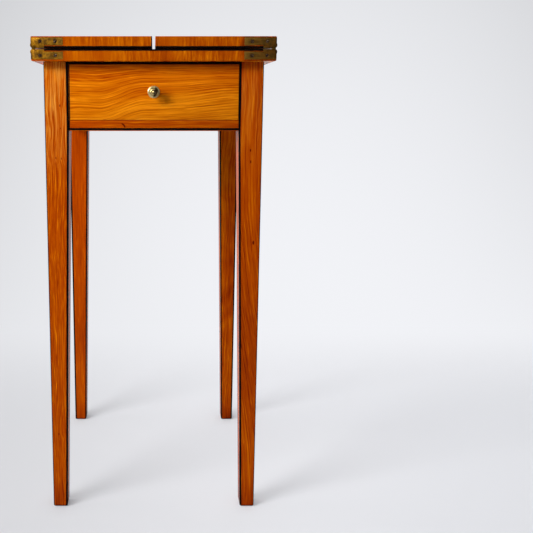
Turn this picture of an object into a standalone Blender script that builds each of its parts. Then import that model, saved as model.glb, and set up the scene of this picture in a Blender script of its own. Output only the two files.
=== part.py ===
"""Cherrywood lamp table with one frieze drawer and a top of two flaps that fold out to twice its width.

It stands at rest with both flaps folded in and the drawer shut. Metres, +Z up. The origin is on the floor
under the middle of the top, the drawer faces -Y, and +X is to the right of someone who faces the drawer.
"""

import math

import bmesh
import bpy
from mathutils import Matrix, Vector

# Clearances
SEAT_GAP = 0.0003  # between two pieces that seat on each other
DRAWER_GAP = 0.0008  # running clearance beside and above the drawer

# Folding top
HEIGHT = 0.775  # floor to the upper face of the folded flaps
TOP_WIDTH = 0.370
TOP_DEPTH = 0.370
TOP_THICK = 0.0175
FLAP_THICK = 0.017
FLAP_GAP = 0.002  # between the show faces when folded, and between the edges when open
MIDDLE_GAP = 0.0047  # slot between the two folded flaps
EDGE_ROUND = 0.002  # rounding of the outer arrises along the hinge edges

# Legs and frame
OVERHANG = 0.016  # of the top past the legs, on all sides
LEG_TOP = 0.037
LEG_FOOT = 0.0235
APRON_HEIGHT = 0.1055
APRON_THICK = 0.018
APRON_SETBACK = 0.001  # behind the outer faces of the legs
RAIL_HEIGHT = 0.0164
RAIL_DEPTH = 0.028
FRONT_SETBACK = 0.0005  # of the rail, the fillet and the drawer front behind the legs
FILLET_HEIGHT = 0.0023
FILLET_DEPTH = 0.018
TENON_THICK = 0.008
TENON_SHOULDER = 0.010
TENON_WALL = 0.004  # wood left between two tenons in a leg, and beside the rail's tenon

# Drawer and what carries it
DRAWER_FRONT_THICK = 0.018
DRAWER_SIDE_THICK = 0.009
DRAWER_BACK_THICK = 0.009
DRAWER_BOTTOM_THICK = 0.006
DRAWER_SIDE_DROP = 0.005  # of the sides below the upper edge of the front
DRAWER_BACK_DROP = 0.003  # of the back below the sides
DRAWER_BACK_SPACE = 0.014  # air between the drawer and the back apron
BOTTOM_RAISE = 0.006  # of the bottom above the lower edges
GROOVE_DEPTH = 0.004
DRAWER_LAP = 0.006  # wood left in front of the dovetails
TAIL_COUNT = 3
TAIL_PIN = 0.009  # wood between two dovetails at their roots
TAIL_SLOPE = 1 / 6
RUNNER_THICK = 0.014
RUNNER_LIP = 0.004  # of the runner and the kicker past the inner face of the drawer side
GUIDE_HEIGHT = 0.022
STOP_WIDTH = 0.040
STOP_DEPTH = 0.0085

# Knob
KNOB_DIAMETER = 0.019
KNOB_PROJECTION = 0.0155
KNOB_HEAD = 0.0075  # thickness of the round head
KNOB_NECK = 0.0085
ROSE_DIAMETER = 0.0165
ROSE_THICK = 0.0022
RING_DIAMETER = 0.0115  # turned groove in the face of the head
RING_DEPTH = 0.0008
BUTTON_RISE = 0.0012  # of the dome inside the groove
POST_DIAMETER = 0.005
NUT_SIZE = 0.012
NUT_THICK = 0.004

# Link hinges
PIN_INSET = 0.004  # of each pin from the show face and from the hinge edge
PIN_DIAMETER = 0.0022
PIN_COVER = 0.0008  # brass left over the blind end of a pin
LINK_THICK = 0.0016
LINK_WIDTH = 0.006
PLATE_LENGTH = 0.0484
PLATE_WIDTH = 0.0114
PLATE_THICK = 0.0018
PLATE_INSET = 0.0036  # of the plate from the show face
BOSS_LENGTH = 0.020
BOSS_DEPTH = 0.0066
BOSS_HEIGHT = 0.0125
SCREW_FROM_EDGE = 0.0142
SCREW_SPACING = 0.0228
SCREW_HEAD = 0.0054
SCREW_SHANK = 0.0026
SCREW_LENGTH = 0.015
SCREW_POINT = 0.003  # tapered tip
SCREW_SLOT = 0.0008
SCREW_SLOT_DEPTH = 0.0007
SLOT_ANGLES = (70, 25, 105, 150)  # degrees, where the screwdriver left them

# Facets of round shapes
ROUND_SIDES = 12
KNOB_SIDES = 24
ARC_STEPS = 8

# Places that follow from the sizes
PAST = 10 * SEAT_GAP  # how far a cut runs past an open face
EDGE_X = TOP_WIDTH / 2
EDGE_Y = TOP_DEPTH / 2
FLAP_SHOW_Z = HEIGHT - FLAP_THICK
SHOW_Z = FLAP_SHOW_Z - FLAP_GAP
UNDER_Z = SHOW_Z - TOP_THICK
LEG_X = EDGE_X - OVERHANG  # outer faces of the legs
LEG_Y = EDGE_Y - OVERHANG
OPEN_X = LEG_X - LEG_TOP  # inner faces of the legs
OPEN_Y = LEG_Y - LEG_TOP
FRAME_HIGH = UNDER_Z - SEAT_GAP
APRON_LOW = UNDER_Z - APRON_HEIGHT
APRON_OUT_X = LEG_X - APRON_SETBACK
APRON_OUT_Y = LEG_Y - APRON_SETBACK
APRON_IN_X = APRON_OUT_X - APRON_THICK
APRON_IN_Y = APRON_OUT_Y - APRON_THICK
FRONT_Y = -(LEG_Y - FRONT_SETBACK)
RAIL_HIGH = APRON_LOW + RAIL_HEIGHT
RAIL_BACK_Y = FRONT_Y + RAIL_DEPTH
TENON_LENGTH = LEG_TOP - APRON_SETBACK - (APRON_THICK + TENON_THICK) / 2 - TENON_WALL
TENON_LOW = RAIL_HIGH + SEAT_GAP
TENON_HIGH = FRAME_HIGH - TENON_SHOULDER
FILLET_LOW = FRAME_HIGH - FILLET_HEIGHT
RUNNER_HIGH = RAIL_HIGH + SEAT_GAP
DRAWER_LOW = RUNNER_HIGH + SEAT_GAP
DRAWER_HIGH = FILLET_LOW - DRAWER_GAP
DRAWER_X = OPEN_X - DRAWER_GAP
DRAWER_IN_X = DRAWER_X - DRAWER_SIDE_THICK
DRAWER_FRONT_IN_Y = FRONT_Y + DRAWER_FRONT_THICK
DRAWER_END_Y = APRON_IN_Y - DRAWER_BACK_SPACE
DRAWER_BACK_IN_Y = DRAWER_END_Y - DRAWER_BACK_THICK
SIDE_HIGH = DRAWER_HIGH - DRAWER_SIDE_DROP
SIDE_FRONT_Y = DRAWER_FRONT_IN_Y + SEAT_GAP  # roots of the dovetails
SIDE_BACK_Y = DRAWER_BACK_IN_Y - SEAT_GAP
TAIL_FRONT_Y = FRONT_Y + DRAWER_LAP
BOTTOM_LOW = DRAWER_LOW + BOTTOM_RAISE
BOTTOM_HIGH = BOTTOM_LOW + DRAWER_BOTTOM_THICK
BACK_LOW = BOTTOM_HIGH + SEAT_GAP
BACK_HIGH = SIDE_HIGH - DRAWER_BACK_DROP
CARRIER_IN_X = DRAWER_IN_X - RUNNER_LIP
CARRIER_OUT_X = APRON_IN_X - SEAT_GAP
CARRIER_Y = OPEN_Y - SEAT_GAP
KNOB_Z = (DRAWER_LOW + DRAWER_HIGH) / 2
KNOB_SEAT_Y = FRONT_Y - SEAT_GAP
NUT_Y = DRAWER_FRONT_IN_Y + SEAT_GAP
PIN_X = EDGE_X - PIN_INSET
PIN_HOLE = PIN_DIAMETER / 2 + SEAT_GAP
LINK_Y = BOSS_DEPTH / 2  # middle of the link, in from the front or back edge
LINK_RADIUS = LINK_WIDTH / 2
LINK_ROOM = PIN_INSET + LINK_RADIUS + SEAT_GAP  # depth of the slot that the link lies in
KNUCKLE_RADIUS = PIN_INSET + (FLAP_GAP - SEAT_GAP) / 2
PLATE_END = PLATE_INSET + PLATE_WIDTH
SCREW_DROP = PLATE_INSET + PLATE_WIDTH / 2
SCREW_PLACES = (SCREW_FROM_EDGE, SCREW_FROM_EDGE + SCREW_SPACING)
HEAD_DEPTH = (SCREW_HEAD - SCREW_SHANK) / 2

SIDES = {"left": -1, "right": 1}
ENDS = {"front": -1, "back": 1}


# Shapes

def block(low, high):
    """Box between two corners."""
    shape = bmesh.new()
    low, high = Vector(low), Vector(high)
    place = Matrix.Translation((low + high) / 2) @ Matrix.Diagonal((*(high - low), 1))
    bmesh.ops.create_cube(shape, size=1, matrix=place)
    return shape


def extruded(shape, faces, offset):
    """Extrudes joined faces by an offset and returns the faces at the far end."""
    edges = list(dict.fromkeys(edge for face in faces for edge in face.edges))
    made = bmesh.ops.extrude_face_region(shape, geom=faces + edges)["geom"]
    carried = [item for item in made if isinstance(item, bmesh.types.BMVert)]
    bmesh.ops.translate(shape, verts=carried, vec=offset)
    return [item for item in made if isinstance(item, bmesh.types.BMFace)]


def on_axis(axis, along, point):
    """Point of an outline that lies across X, Y or Z, at a distance along that axis."""
    values = list(point)
    values.insert("XYZ".index(axis), along)
    return Vector(values)


def flat_faces(outlines, axis, start):
    """Flat faces on outlines that share corners, ready to be extruded."""
    shape = bmesh.new()
    corners = {}
    faces = []
    for outline in outlines:
        for point in outline:
            if point not in corners:
                corners[point] = shape.verts.new(on_axis(axis, start, point))
        faces.append(shape.faces.new([corners[point] for point in outline]))
    return shape, faces


def prism(outline, axis, start, stop):
    """Outline extruded along X, Y or Z."""
    shape, faces = flat_faces([outline], axis, start)
    extruded(shape, faces, on_axis(axis, stop - start, (0, 0)))
    return shape


def turned(profile, centre, sides=ROUND_SIDES):
    """Profile of (distance along Y, radius) points spun about the line along Y through centre (x, z)."""
    shape = bmesh.new()
    hub = Vector((centre[0], 0, centre[1]))
    points = [(profile[0][0], 0), *profile, (profile[-1][0], 0)]
    verts = [shape.verts.new(hub + Vector((radius, along, 0))) for along, radius in points]
    edges = [shape.edges.new(pair) for pair in zip(verts, verts[1:])]
    turn = {"cent": hub, "axis": (0, 1, 0), "angle": math.tau, "steps": sides, "use_merge": True}
    bmesh.ops.spin(shape, geom=verts + edges, **turn)
    bmesh.ops.remove_doubles(shape, verts=shape.verts, dist=1e-6)
    return shape


def rod(centre, radius, start, stop):
    """Round bar along Y."""
    return turned([(start, radius), (stop, radius)], centre)


def arc(centre, radius, start, stop):
    """Points of an arc between two angles in degrees."""
    points = []
    for step in range(ARC_STEPS + 1):
        angle = math.radians(start + (stop - start) * step / ARC_STEPS)
        points.append((centre[0] + radius * math.cos(angle), centre[1] + radius * math.sin(angle)))
    return points


def moved(shape, place):
    """The same shape carried by a matrix, which may mirror it."""
    shape.transform(place)
    return shape


def mirrored(side):
    """Carries a shape made for the right-hand side to the left or right."""
    return Matrix.Diagonal((side, 1, 1, 1))


def face_outwards(shape):
    shape.normal_update()
    bmesh.ops.recalc_face_normals(shape, faces=shape.faces)


def together(shapes):
    """Separate shapes held in one mesh, for one cut."""
    whole = bmesh.new()
    for shape in shapes:
        face_outwards(shape)
        mesh = bpy.data.meshes.new("shape")
        shape.to_mesh(mesh)
        shape.free()
        whole.from_mesh(mesh)
        bpy.data.meshes.remove(mesh)
    return whole


# Objects

def finish(name, colour, roughness, metallic=0.0):
    material = bpy.data.materials.new(name)
    material.use_nodes = True
    shader = material.node_tree.nodes["Principled BSDF"]
    shader.inputs["Base Color"].default_value = (*colour, 1)
    shader.inputs["Roughness"].default_value = roughness
    shader.inputs["Metallic"].default_value = metallic
    material.diffuse_color = (*colour, 1)
    return material


class Assembly:
    """Adds named objects to the scene under empties that stand on the joint axes."""

    def __init__(self):
        self.groups = {}
        self.places = {}
        self.finishes = {
            "cherry": finish("polished_cherry", (0.48, 0.14, 0.012), 0.32),
            "ebonised": finish("ebonised_wood", (0.008, 0.007, 0.006), 0.40),
            "lining": finish("drawer_lining", (0.42, 0.27, 0.13), 0.65),
            "brass": finish("aged_brass", (0.36, 0.25, 0.07), 0.38, 1.0),
            "bright brass": finish("rubbed_brass", (0.62, 0.47, 0.18), 0.24, 1.0),
        }

    def add_group(self, name, place, parent=None):
        empty = bpy.data.objects.new(name, None)
        bpy.context.scene.collection.objects.link(empty)
        empty.parent = self.groups.get(parent)
        empty.location = Vector(place) - self.places.get(parent, Vector())
        self.groups[name] = empty
        self.places[name] = Vector(place)

    def add_object(self, name, shape, group):
        face_outwards(shape)
        shape.transform(Matrix.Translation(-self.places[group]))
        mesh = bpy.data.meshes.new(name)
        shape.to_mesh(mesh)
        shape.free()
        thing = bpy.data.objects.new(name, mesh)
        thing.parent = self.groups[group]
        bpy.context.scene.collection.objects.link(thing)
        return thing

    def add_piece(self, name, shape, group, finish_name, joins=(), cuts=(), smooth=False):
        """One solid of the table: a shape with other shapes joined to it, less its cuts."""
        piece = self.add_object(name, shape, group)
        piece.data.materials.append(self.finishes[finish_name])
        if smooth:
            piece.data.shade_smooth()
            piece.data.set_sharp_from_angle(angle=math.radians(35))
        tools = [("UNION", join) for join in joins] + [("DIFFERENCE", cut) for cut in cuts]
        for number, (operation, tool) in enumerate(tools, 1):
            helper = self.add_object(f"{name}_tool_{number}", tool, group)
            helper.hide_render = True
            helper.display_type = "WIRE"
            boolean = piece.modifiers.new(f"tool_{number}", "BOOLEAN")
            boolean.operation = operation
            boolean.solver = "EXACT"
            boolean.object = helper


# Legs and frame

def corner_place(side, end):
    """Carries a leg's own x and y, measured in from its two outer faces, to its corner of the table."""
    return Matrix.Translation((side * LEG_X, end * LEG_Y, 0)) @ Matrix.Diagonal((-side, -end, 1, 1))


def leg_shape():
    """Leg that is square behind the aprons and tapers to the floor on its two inner faces."""
    square = [(0, 0), (LEG_TOP, 0), (LEG_TOP, LEG_TOP), (0, LEG_TOP)]
    shape = prism(square, "Z", APRON_LOW, FRAME_HIGH)
    lowest = min(shape.faces, key=lambda face: face.calc_center_median().z)
    foot = extruded(shape, [lowest], (0, 0, -APRON_LOW))[0]
    for vert in foot.verts:
        vert.co.xy *= LEG_FOOT / LEG_TOP
    return shape


def apron_tenon(grow=0.0):
    """Cheeks of an apron's tenon or mortise, measured in from the outer face of a leg."""
    near = APRON_SETBACK + (APRON_THICK - TENON_THICK) / 2
    return near - grow, near + TENON_THICK + grow


def apron_mortises(both):
    """Mortise for the side apron and, in a back leg, for the back apron too."""
    near, far = apron_tenon(SEAT_GAP)
    deep, out = LEG_TOP - TENON_LENGTH - SEAT_GAP, LEG_TOP + PAST
    low, high = TENON_LOW - SEAT_GAP, TENON_HIGH + SEAT_GAP
    mortises = [block((near, deep, low), (far, out, high))]
    if both:
        mortises.append(block((deep, near, low), (out, far, high)))
    return mortises


def rail_tenons(reach, grow=0.0):
    """Bar that forms the front rail's tenon at both ends, or the mortises for it."""
    middle = APRON_LOW + RAIL_HEIGHT / 2
    half = TENON_THICK / 2 + grow
    low = (-reach, FRONT_Y + TENON_WALL - grow, middle - half)
    high = (reach, RAIL_BACK_Y - TENON_WALL + grow, middle + half)
    return block(low, high)


def add_legs(table):
    for end_name, end in ENDS.items():
        for side_name, side in SIDES.items():
            place = corner_place(side, end)
            is_back = end_name == "back"
            cuts = [together(moved(mortise, place) for mortise in apron_mortises(is_back))]
            if not is_back:
                cuts.append(rail_tenons(OPEN_X + TENON_LENGTH + SEAT_GAP, SEAT_GAP))
            name = f"leg_{end_name}_{side_name}"
            table.add_piece(name, moved(leg_shape(), place), "frame", "cherry", cuts=cuts)


def add_aprons(table):
    near, far = apron_tenon()
    length, reach = OPEN_Y - SEAT_GAP, OPEN_Y + TENON_LENGTH
    for name, side in SIDES.items():
        board = block((APRON_IN_X, -length, APRON_LOW), (APRON_OUT_X, length, FRAME_HIGH))
        tenons = block((LEG_X - far, -reach, TENON_LOW), (LEG_X - near, reach, TENON_HIGH))
        place = mirrored(side)
        table.add_piece(f"apron_{name}", moved(board, place), "frame", "cherry", joins=[moved(tenons, place)])
    length, reach = OPEN_X - SEAT_GAP, OPEN_X + TENON_LENGTH
    board = block((-length, APRON_IN_Y, APRON_LOW), (length, APRON_OUT_Y, FRAME_HIGH))
    tenons = block((-reach, LEG_Y - far, TENON_LOW), (reach, LEG_Y - near, TENON_HIGH))
    table.add_piece("apron_back", board, "frame", "cherry", joins=[tenons])


def add_front_rail(table):
    length = OPEN_X - SEAT_GAP
    board = block((-length, FRONT_Y, APRON_LOW), (length, RAIL_BACK_Y, RAIL_HIGH))
    table.add_piece("front_rail", board, "frame", "cherry", joins=[rail_tenons(OPEN_X + TENON_LENGTH)])
    fillet = block((-length, FRONT_Y, FILLET_LOW), (length, FRONT_Y + FILLET_DEPTH, FRAME_HIGH))
    table.add_piece("frieze_fillet", fillet, "frame", "ebonised")


# Drawer carriers

def runner_shape():
    """Runner under the right drawer side, with a guide that stands up beside it between the legs."""
    front, back = RAIL_BACK_Y + SEAT_GAP, APRON_IN_Y - SEAT_GAP
    lip = [
        (CARRIER_IN_X, front), (OPEN_X, front), (OPEN_X, -CARRIER_Y),
        (OPEN_X, CARRIER_Y), (OPEN_X, back), (CARRIER_IN_X, back),
    ]
    guide = [
        (OPEN_X, -CARRIER_Y), (CARRIER_OUT_X, -CARRIER_Y), (CARRIER_OUT_X, CARRIER_Y), (OPEN_X, CARRIER_Y),
    ]
    shape, faces = flat_faces([lip, guide], "Z", RUNNER_HIGH - RUNNER_THICK)
    tops = extruded(shape, faces, (0, 0, RUNNER_THICK))
    guide_top = max(tops, key=lambda face: face.calc_center_median().x)
    extruded(shape, [guide_top], (0, 0, GUIDE_HEIGHT))
    return shape


def add_drawer_carriers(table):
    for name, side in SIDES.items():
        place = mirrored(side)
        table.add_piece(f"drawer_runner_{name}", moved(runner_shape(), place), "frame", "lining")
        low = (CARRIER_IN_X, -CARRIER_Y, SIDE_HIGH + DRAWER_GAP)
        kicker = block(low, (CARRIER_OUT_X, CARRIER_Y, FRAME_HIGH))
        table.add_piece(f"drawer_kicker_{name}", moved(kicker, place), "frame", "lining")
    low = (-STOP_WIDTH / 2, SIDE_FRONT_Y, RAIL_HIGH + SEAT_GAP)
    stop = block(low, (STOP_WIDTH / 2, SIDE_FRONT_Y + STOP_DEPTH, BOTTOM_LOW - DRAWER_GAP))
    table.add_piece("drawer_stop", stop, "frame", "lining")


# Drawer

def dovetails(root, tip, low, high, grow):
    """Tails along a board's end, as (y, z) outlines that widen from the root to the tip."""
    pitch = (high - low) / TAIL_COUNT
    half_root = (pitch - TAIL_PIN) / 2 + grow
    half_tip = half_root + abs(tip - root) * TAIL_SLOPE
    tails = []
    for number in range(TAIL_COUNT):
        middle = low + (number + 0.5) * pitch
        tails.append([
            (root, middle - half_root), (tip, middle - half_tip),
            (tip, middle + half_tip), (root, middle + half_root),
        ])
    return tails


def front_tails(grow=0.0):
    return dovetails(SIDE_FRONT_Y, TAIL_FRONT_Y - grow, DRAWER_LOW, SIDE_HIGH, grow)


def back_tails(grow=0.0):
    return dovetails(SIDE_BACK_Y, DRAWER_END_Y + grow, BACK_LOW, BACK_HIGH, grow)


def sockets(tails):
    """Cuts for the dovetails of both drawer sides."""
    near, far = DRAWER_IN_X - SEAT_GAP, DRAWER_X + PAST
    cuts = []
    for tail in tails:
        cuts.append(prism(tail, "X", near, far))
        cuts.append(prism(tail, "X", -far, -near))
    return together(cuts)


def side_outline():
    """Drawer side seen along X, with dovetails at both ends and a foot that runs on under the back."""
    points = [(DRAWER_END_Y, DRAWER_LOW), (DRAWER_END_Y, BOTTOM_HIGH), (SIDE_BACK_Y, BOTTOM_HIGH)]
    for tail in back_tails():
        points += tail
    points += [(SIDE_BACK_Y, SIDE_HIGH), (SIDE_FRONT_Y, SIDE_HIGH)]
    for tail in reversed(front_tails()):
        points += reversed(tail)
    points.append((SIDE_FRONT_Y, DRAWER_LOW))
    return points


def add_drawer_front(table):
    board = block((-DRAWER_X, FRONT_Y, DRAWER_LOW), (DRAWER_X, DRAWER_FRONT_IN_Y, DRAWER_HIGH))
    wide = DRAWER_IN_X + GROOVE_DEPTH
    low = (-wide, DRAWER_FRONT_IN_Y - GROOVE_DEPTH, BOTTOM_LOW - SEAT_GAP)
    groove = block(low, (wide, DRAWER_FRONT_IN_Y + PAST, BOTTOM_HIGH + SEAT_GAP))
    post_hole = rod((0, KNOB_Z), POST_DIAMETER / 2 + SEAT_GAP, FRONT_Y - PAST, DRAWER_FRONT_IN_Y + PAST)
    cuts = [groove, sockets(front_tails(SEAT_GAP)), post_hole]
    table.add_piece("drawer_front", board, "drawer", "cherry", cuts=cuts)


def add_drawer_box(table):
    for name, side in SIDES.items():
        place = mirrored(side)
        board = prism(side_outline(), "X", DRAWER_IN_X, DRAWER_X)
        low = (DRAWER_IN_X - PAST, TAIL_FRONT_Y - PAST, BOTTOM_LOW - SEAT_GAP)
        groove = block(low, (DRAWER_IN_X + GROOVE_DEPTH, DRAWER_END_Y + PAST, BOTTOM_HIGH + SEAT_GAP))
        cuts = [moved(groove, place)]
        table.add_piece(f"drawer_side_{name}", moved(board, place), "drawer", "lining", cuts=cuts)
    back = block((-DRAWER_X, DRAWER_BACK_IN_Y, BACK_LOW), (DRAWER_X, DRAWER_END_Y, BACK_HIGH))
    table.add_piece("drawer_back", back, "drawer", "lining", cuts=[sockets(back_tails(SEAT_GAP))])
    wide = DRAWER_IN_X + GROOVE_DEPTH - SEAT_GAP
    front = DRAWER_FRONT_IN_Y - GROOVE_DEPTH + SEAT_GAP
    bottom = block((-wide, front, BOTTOM_LOW), (wide, DRAWER_END_Y, BOTTOM_HIGH))
    table.add_piece("drawer_bottom", bottom, "drawer", "lining")


def knob_profile():
    """Post, rose, neck, round head with a turned ring, and a button, from the nut out to the front."""
    rim = KNOB_HEAD / 2
    face = KNOB_PROJECTION - BUTTON_RISE
    ring = RING_DIAMETER / 2
    button = ring - 2 * RING_DEPTH
    out = [
        (0, POST_DIAMETER / 2), (0, ROSE_DIAMETER / 2), (ROSE_THICK / 2, ROSE_DIAMETER / 2),
        (ROSE_THICK, (ROSE_DIAMETER + KNOB_NECK) / 4), (2 * ROSE_THICK, KNOB_NECK / 2),
    ]
    out += arc((face - rim, KNOB_DIAMETER / 2 - rim), rim, 180, 0)
    out += [(face, ring), (face - RING_DEPTH, ring - RING_DEPTH), (face - RING_DEPTH, button)]
    for step in range(1, ARC_STEPS):
        angle = math.pi / 2 * step / ARC_STEPS
        rise = (RING_DEPTH + BUTTON_RISE) * math.sin(angle)
        out.append((face - RING_DEPTH + rise, button * math.cos(angle)))
    post_end = NUT_Y + NUT_THICK + PAST
    return [(post_end, POST_DIAMETER / 2)] + [(KNOB_SEAT_Y - along, radius) for along, radius in out]


def add_knob(table):
    centre = (0, KNOB_Z)
    knob = turned(knob_profile(), centre, KNOB_SIDES)
    table.add_piece("knob", knob, "drawer", "bright brass", smooth=True)
    half = NUT_SIZE / 2
    nut = block((-half, NUT_Y, KNOB_Z - half), (half, NUT_Y + NUT_THICK, KNOB_Z + half))
    hole = rod(centre, POST_DIAMETER / 2 + SEAT_GAP, NUT_Y - PAST, NUT_Y + NUT_THICK + PAST)
    table.add_piece("knob_nut", nut, "drawer", "brass", cuts=[hole])


# Link hinges, each in its own x from the hinge edge, y from the front or back edge and z from the show face

def hinge_place(side, end, leaf):
    """Carries a hinge half's own places to its corner of the fixed top, or of a folded flap."""
    height, away = (SHOW_Z, -1) if leaf == "top" else (FLAP_SHOW_Z, 1)
    corner = Matrix.Translation((side * EDGE_X, end * EDGE_Y, height))
    return corner @ Matrix.Diagonal((-side, -end, away, 1))


def plate_shape():
    """Side plate with a boss that fills the corner of the leaf and ends in a round knuckle about the pin."""
    pin = (PIN_INSET, PIN_INSET)
    spread = math.degrees(math.acos(PIN_INSET / KNUCKLE_RADIUS))
    knuckle = arc(pin, KNUCKLE_RADIUS, spread - 90, -180 - spread)
    boss = [
        (BOSS_LENGTH, BOSS_HEIGHT), (BOSS_LENGTH, PLATE_INSET), (BOSS_LENGTH, 0), *knuckle, (0, BOSS_HEIGHT),
    ]
    corner = arc((EDGE_ROUND, PLATE_END - EDGE_ROUND), EDGE_ROUND, 180, 90)
    below = [(0, BOSS_HEIGHT), *corner, (BOSS_LENGTH, PLATE_END), (BOSS_LENGTH, BOSS_HEIGHT)]
    tail = [
        (BOSS_LENGTH, PLATE_INSET), (BOSS_LENGTH, BOSS_HEIGHT), (BOSS_LENGTH, PLATE_END),
        (PLATE_LENGTH, PLATE_END), (PLATE_LENGTH, PLATE_INSET),
    ]
    shape, faces = flat_faces([boss, below, tail], "Y", 0)
    inner = extruded(shape, faces, (0, PLATE_THICK, 0))
    boss_end = min(inner, key=lambda face: face.calc_center_median().z)
    extruded(shape, [boss_end], (0, BOSS_DEPTH - PLATE_THICK, 0))
    return shape


def plate_cuts():
    """Slot for the link, blind hole for the pin, and countersunk screw holes."""
    half = LINK_THICK / 2 + SEAT_GAP
    slot = block((-PAST, LINK_Y - half, -PAST), (LINK_ROOM, LINK_Y + half, LINK_ROOM))
    pin_hole = rod((PIN_INSET, PIN_INSET), PIN_HOLE, PIN_COVER, BOSS_DEPTH + PAST)
    head, shank = SCREW_HEAD / 2 + SEAT_GAP, SCREW_SHANK / 2 + SEAT_GAP
    sink = [(-PAST, head), (0, head), (HEAD_DEPTH, shank), (BOSS_DEPTH + PAST, shank)]
    screw_holes = together(turned(sink, (place, SCREW_DROP)) for place in SCREW_PLACES)
    return [slot, pin_hole, screw_holes]


def screw_shape(place):
    head, shank = SCREW_HEAD / 2, SCREW_SHANK / 2
    profile = [(0, head), (HEAD_DEPTH, shank), (SCREW_LENGTH - SCREW_POINT, shank), (SCREW_LENGTH, shank / 4)]
    return turned(profile, (place, SCREW_DROP))


def screw_slot(place, angle):
    half = SCREW_HEAD / 2 + PAST
    slot = block((-half, -PAST, -SCREW_SLOT / 2), (half, SCREW_SLOT_DEPTH, SCREW_SLOT / 2))
    turn = Matrix.Rotation(math.radians(angle), 4, "Y")
    return moved(slot, Matrix.Translation((place, 0, SCREW_DROP)) @ turn)


def link_shape():
    """Flat bar with round ends, from the fixed top's pin to the folded flap's pin."""
    near, far = (PIN_INSET, PIN_INSET), (PIN_INSET, -FLAP_GAP - PIN_INSET)
    outline = arc(near, LINK_RADIUS, 0, 180) + arc(far, LINK_RADIUS, 180, 360)
    start, stop = LINK_Y - LINK_THICK / 2, LINK_Y + LINK_THICK / 2
    holes = together(rod(pin, PIN_HOLE, start - PAST, stop + PAST) for pin in (near, far))
    return prism(outline, "Y", start, stop), holes


def leaf_cuts(places):
    """Pockets for plates and bosses and pilot holes for screws, at each hinge of one leaf."""
    plates, bosses, pilots = [], [], []
    for place in places:
        high = (PLATE_LENGTH + SEAT_GAP, PLATE_THICK + SEAT_GAP, PLATE_END + SEAT_GAP)
        plates.append(moved(block((-PAST, -PAST, PLATE_INSET - SEAT_GAP), high), place))
        high = (BOSS_LENGTH + SEAT_GAP, BOSS_DEPTH + SEAT_GAP, BOSS_HEIGHT + SEAT_GAP)
        bosses.append(moved(block((-PAST, -PAST, -PAST), high), place))
        for along in SCREW_PLACES:
            hole = rod((along, SCREW_DROP), SCREW_SHANK / 2 + SEAT_GAP, -PAST, SCREW_LENGTH + SEAT_GAP)
            pilots.append(moved(hole, place))
    return [together(plates), together(bosses), together(pilots)]


def add_hinge_half(table, corner, side, end, leaf, group):
    """Plate, pin and two screws in one leaf."""
    place = hinge_place(side, end, leaf)
    cuts = [moved(cut, place) for cut in plate_cuts()]
    table.add_piece(f"hinge_plate_{corner}_{leaf}", moved(plate_shape(), place), group, "brass", cuts=cuts)
    pin = rod((PIN_INSET, PIN_INSET), PIN_DIAMETER / 2, PIN_COVER + SEAT_GAP, BOSS_DEPTH)
    table.add_piece(f"hinge_pin_{corner}_{leaf}", moved(pin, place), group, "brass", smooth=True)
    for number, along in enumerate(SCREW_PLACES, 1):
        angle = SLOT_ANGLES[(number + 2 * (leaf == "flap") + (side * end > 0)) % len(SLOT_ANGLES)]
        name = f"hinge_screw_{corner}_{leaf}_{number}"
        slot = moved(screw_slot(along, angle), place)
        table.add_piece(name, moved(screw_shape(along), place), group, "brass", cuts=[slot], smooth=True)


def add_hinges(table):
    for side_name, side in SIDES.items():
        for end_name, end in ENDS.items():
            corner = f"{end_name}_{side_name}"
            add_hinge_half(table, corner, side, end, "top", "frame")
            add_hinge_half(table, corner, side, end, "flap", f"{side_name}_flap")
            bar, holes = link_shape()
            place = hinge_place(side, end, "top")
            cuts = [moved(holes, place)]
            group = f"{side_name}_links"
            table.add_piece(f"hinge_link_{corner}", moved(bar, place), group, "brass", cuts=cuts)


# Folding top

def add_fixed_top(table):
    low = (EDGE_X - EDGE_ROUND, UNDER_Z + EDGE_ROUND)
    high = (PIN_X, SHOW_Z - PIN_INSET)
    right = arc(low, EDGE_ROUND, -90, 0) + arc(high, PIN_INSET, 0, 90)
    outline = right + [(-x, z) for x, z in reversed(right)]
    board = prism(outline, "Y", -EDGE_Y, EDGE_Y)
    places = [hinge_place(side, end, "top") for side in SIDES.values() for end in ENDS.values()]
    table.add_piece("fixed_top", board, "frame", "cherry", cuts=leaf_cuts(places))


def add_flaps(table):
    for name, side in SIDES.items():
        low = (PIN_X, FLAP_SHOW_Z + PIN_INSET)
        high = (EDGE_X - EDGE_ROUND, HEIGHT - EDGE_ROUND)
        edge = arc(low, PIN_INSET, -90, 0) + arc(high, EDGE_ROUND, 0, 90)
        outline = [(MIDDLE_GAP / 2, FLAP_SHOW_Z), *edge, (MIDDLE_GAP / 2, HEIGHT)]
        board = moved(prism(outline, "Y", -EDGE_Y, EDGE_Y), mirrored(side))
        places = [hinge_place(side, end, "flap") for end in ENDS.values()]
        table.add_piece(f"flap_{name}", board, f"{name}_flap", "cherry", cuts=leaf_cuts(places))


def clear_scene():
    for thing in list(bpy.data.objects):
        bpy.data.objects.remove(thing)


def main():
    clear_scene()
    table = Assembly()
    table.add_group("frame", (0, 0, 0))
    table.add_group("drawer", (0, FRONT_Y, KNOB_Z), "frame")
    for name, side in SIDES.items():
        table.add_group(f"{name}_links", (side * PIN_X, 0, SHOW_Z - PIN_INSET), "frame")
        table.add_group(f"{name}_flap", (side * PIN_X, 0, FLAP_SHOW_Z + PIN_INSET), f"{name}_links")
    add_legs(table)
    add_aprons(table)
    add_front_rail(table)
    add_drawer_carriers(table)
    add_drawer_front(table)
    add_drawer_box(table)
    add_knob(table)
    add_fixed_top(table)
    add_flaps(table)
    add_hinges(table)


main()
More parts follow.
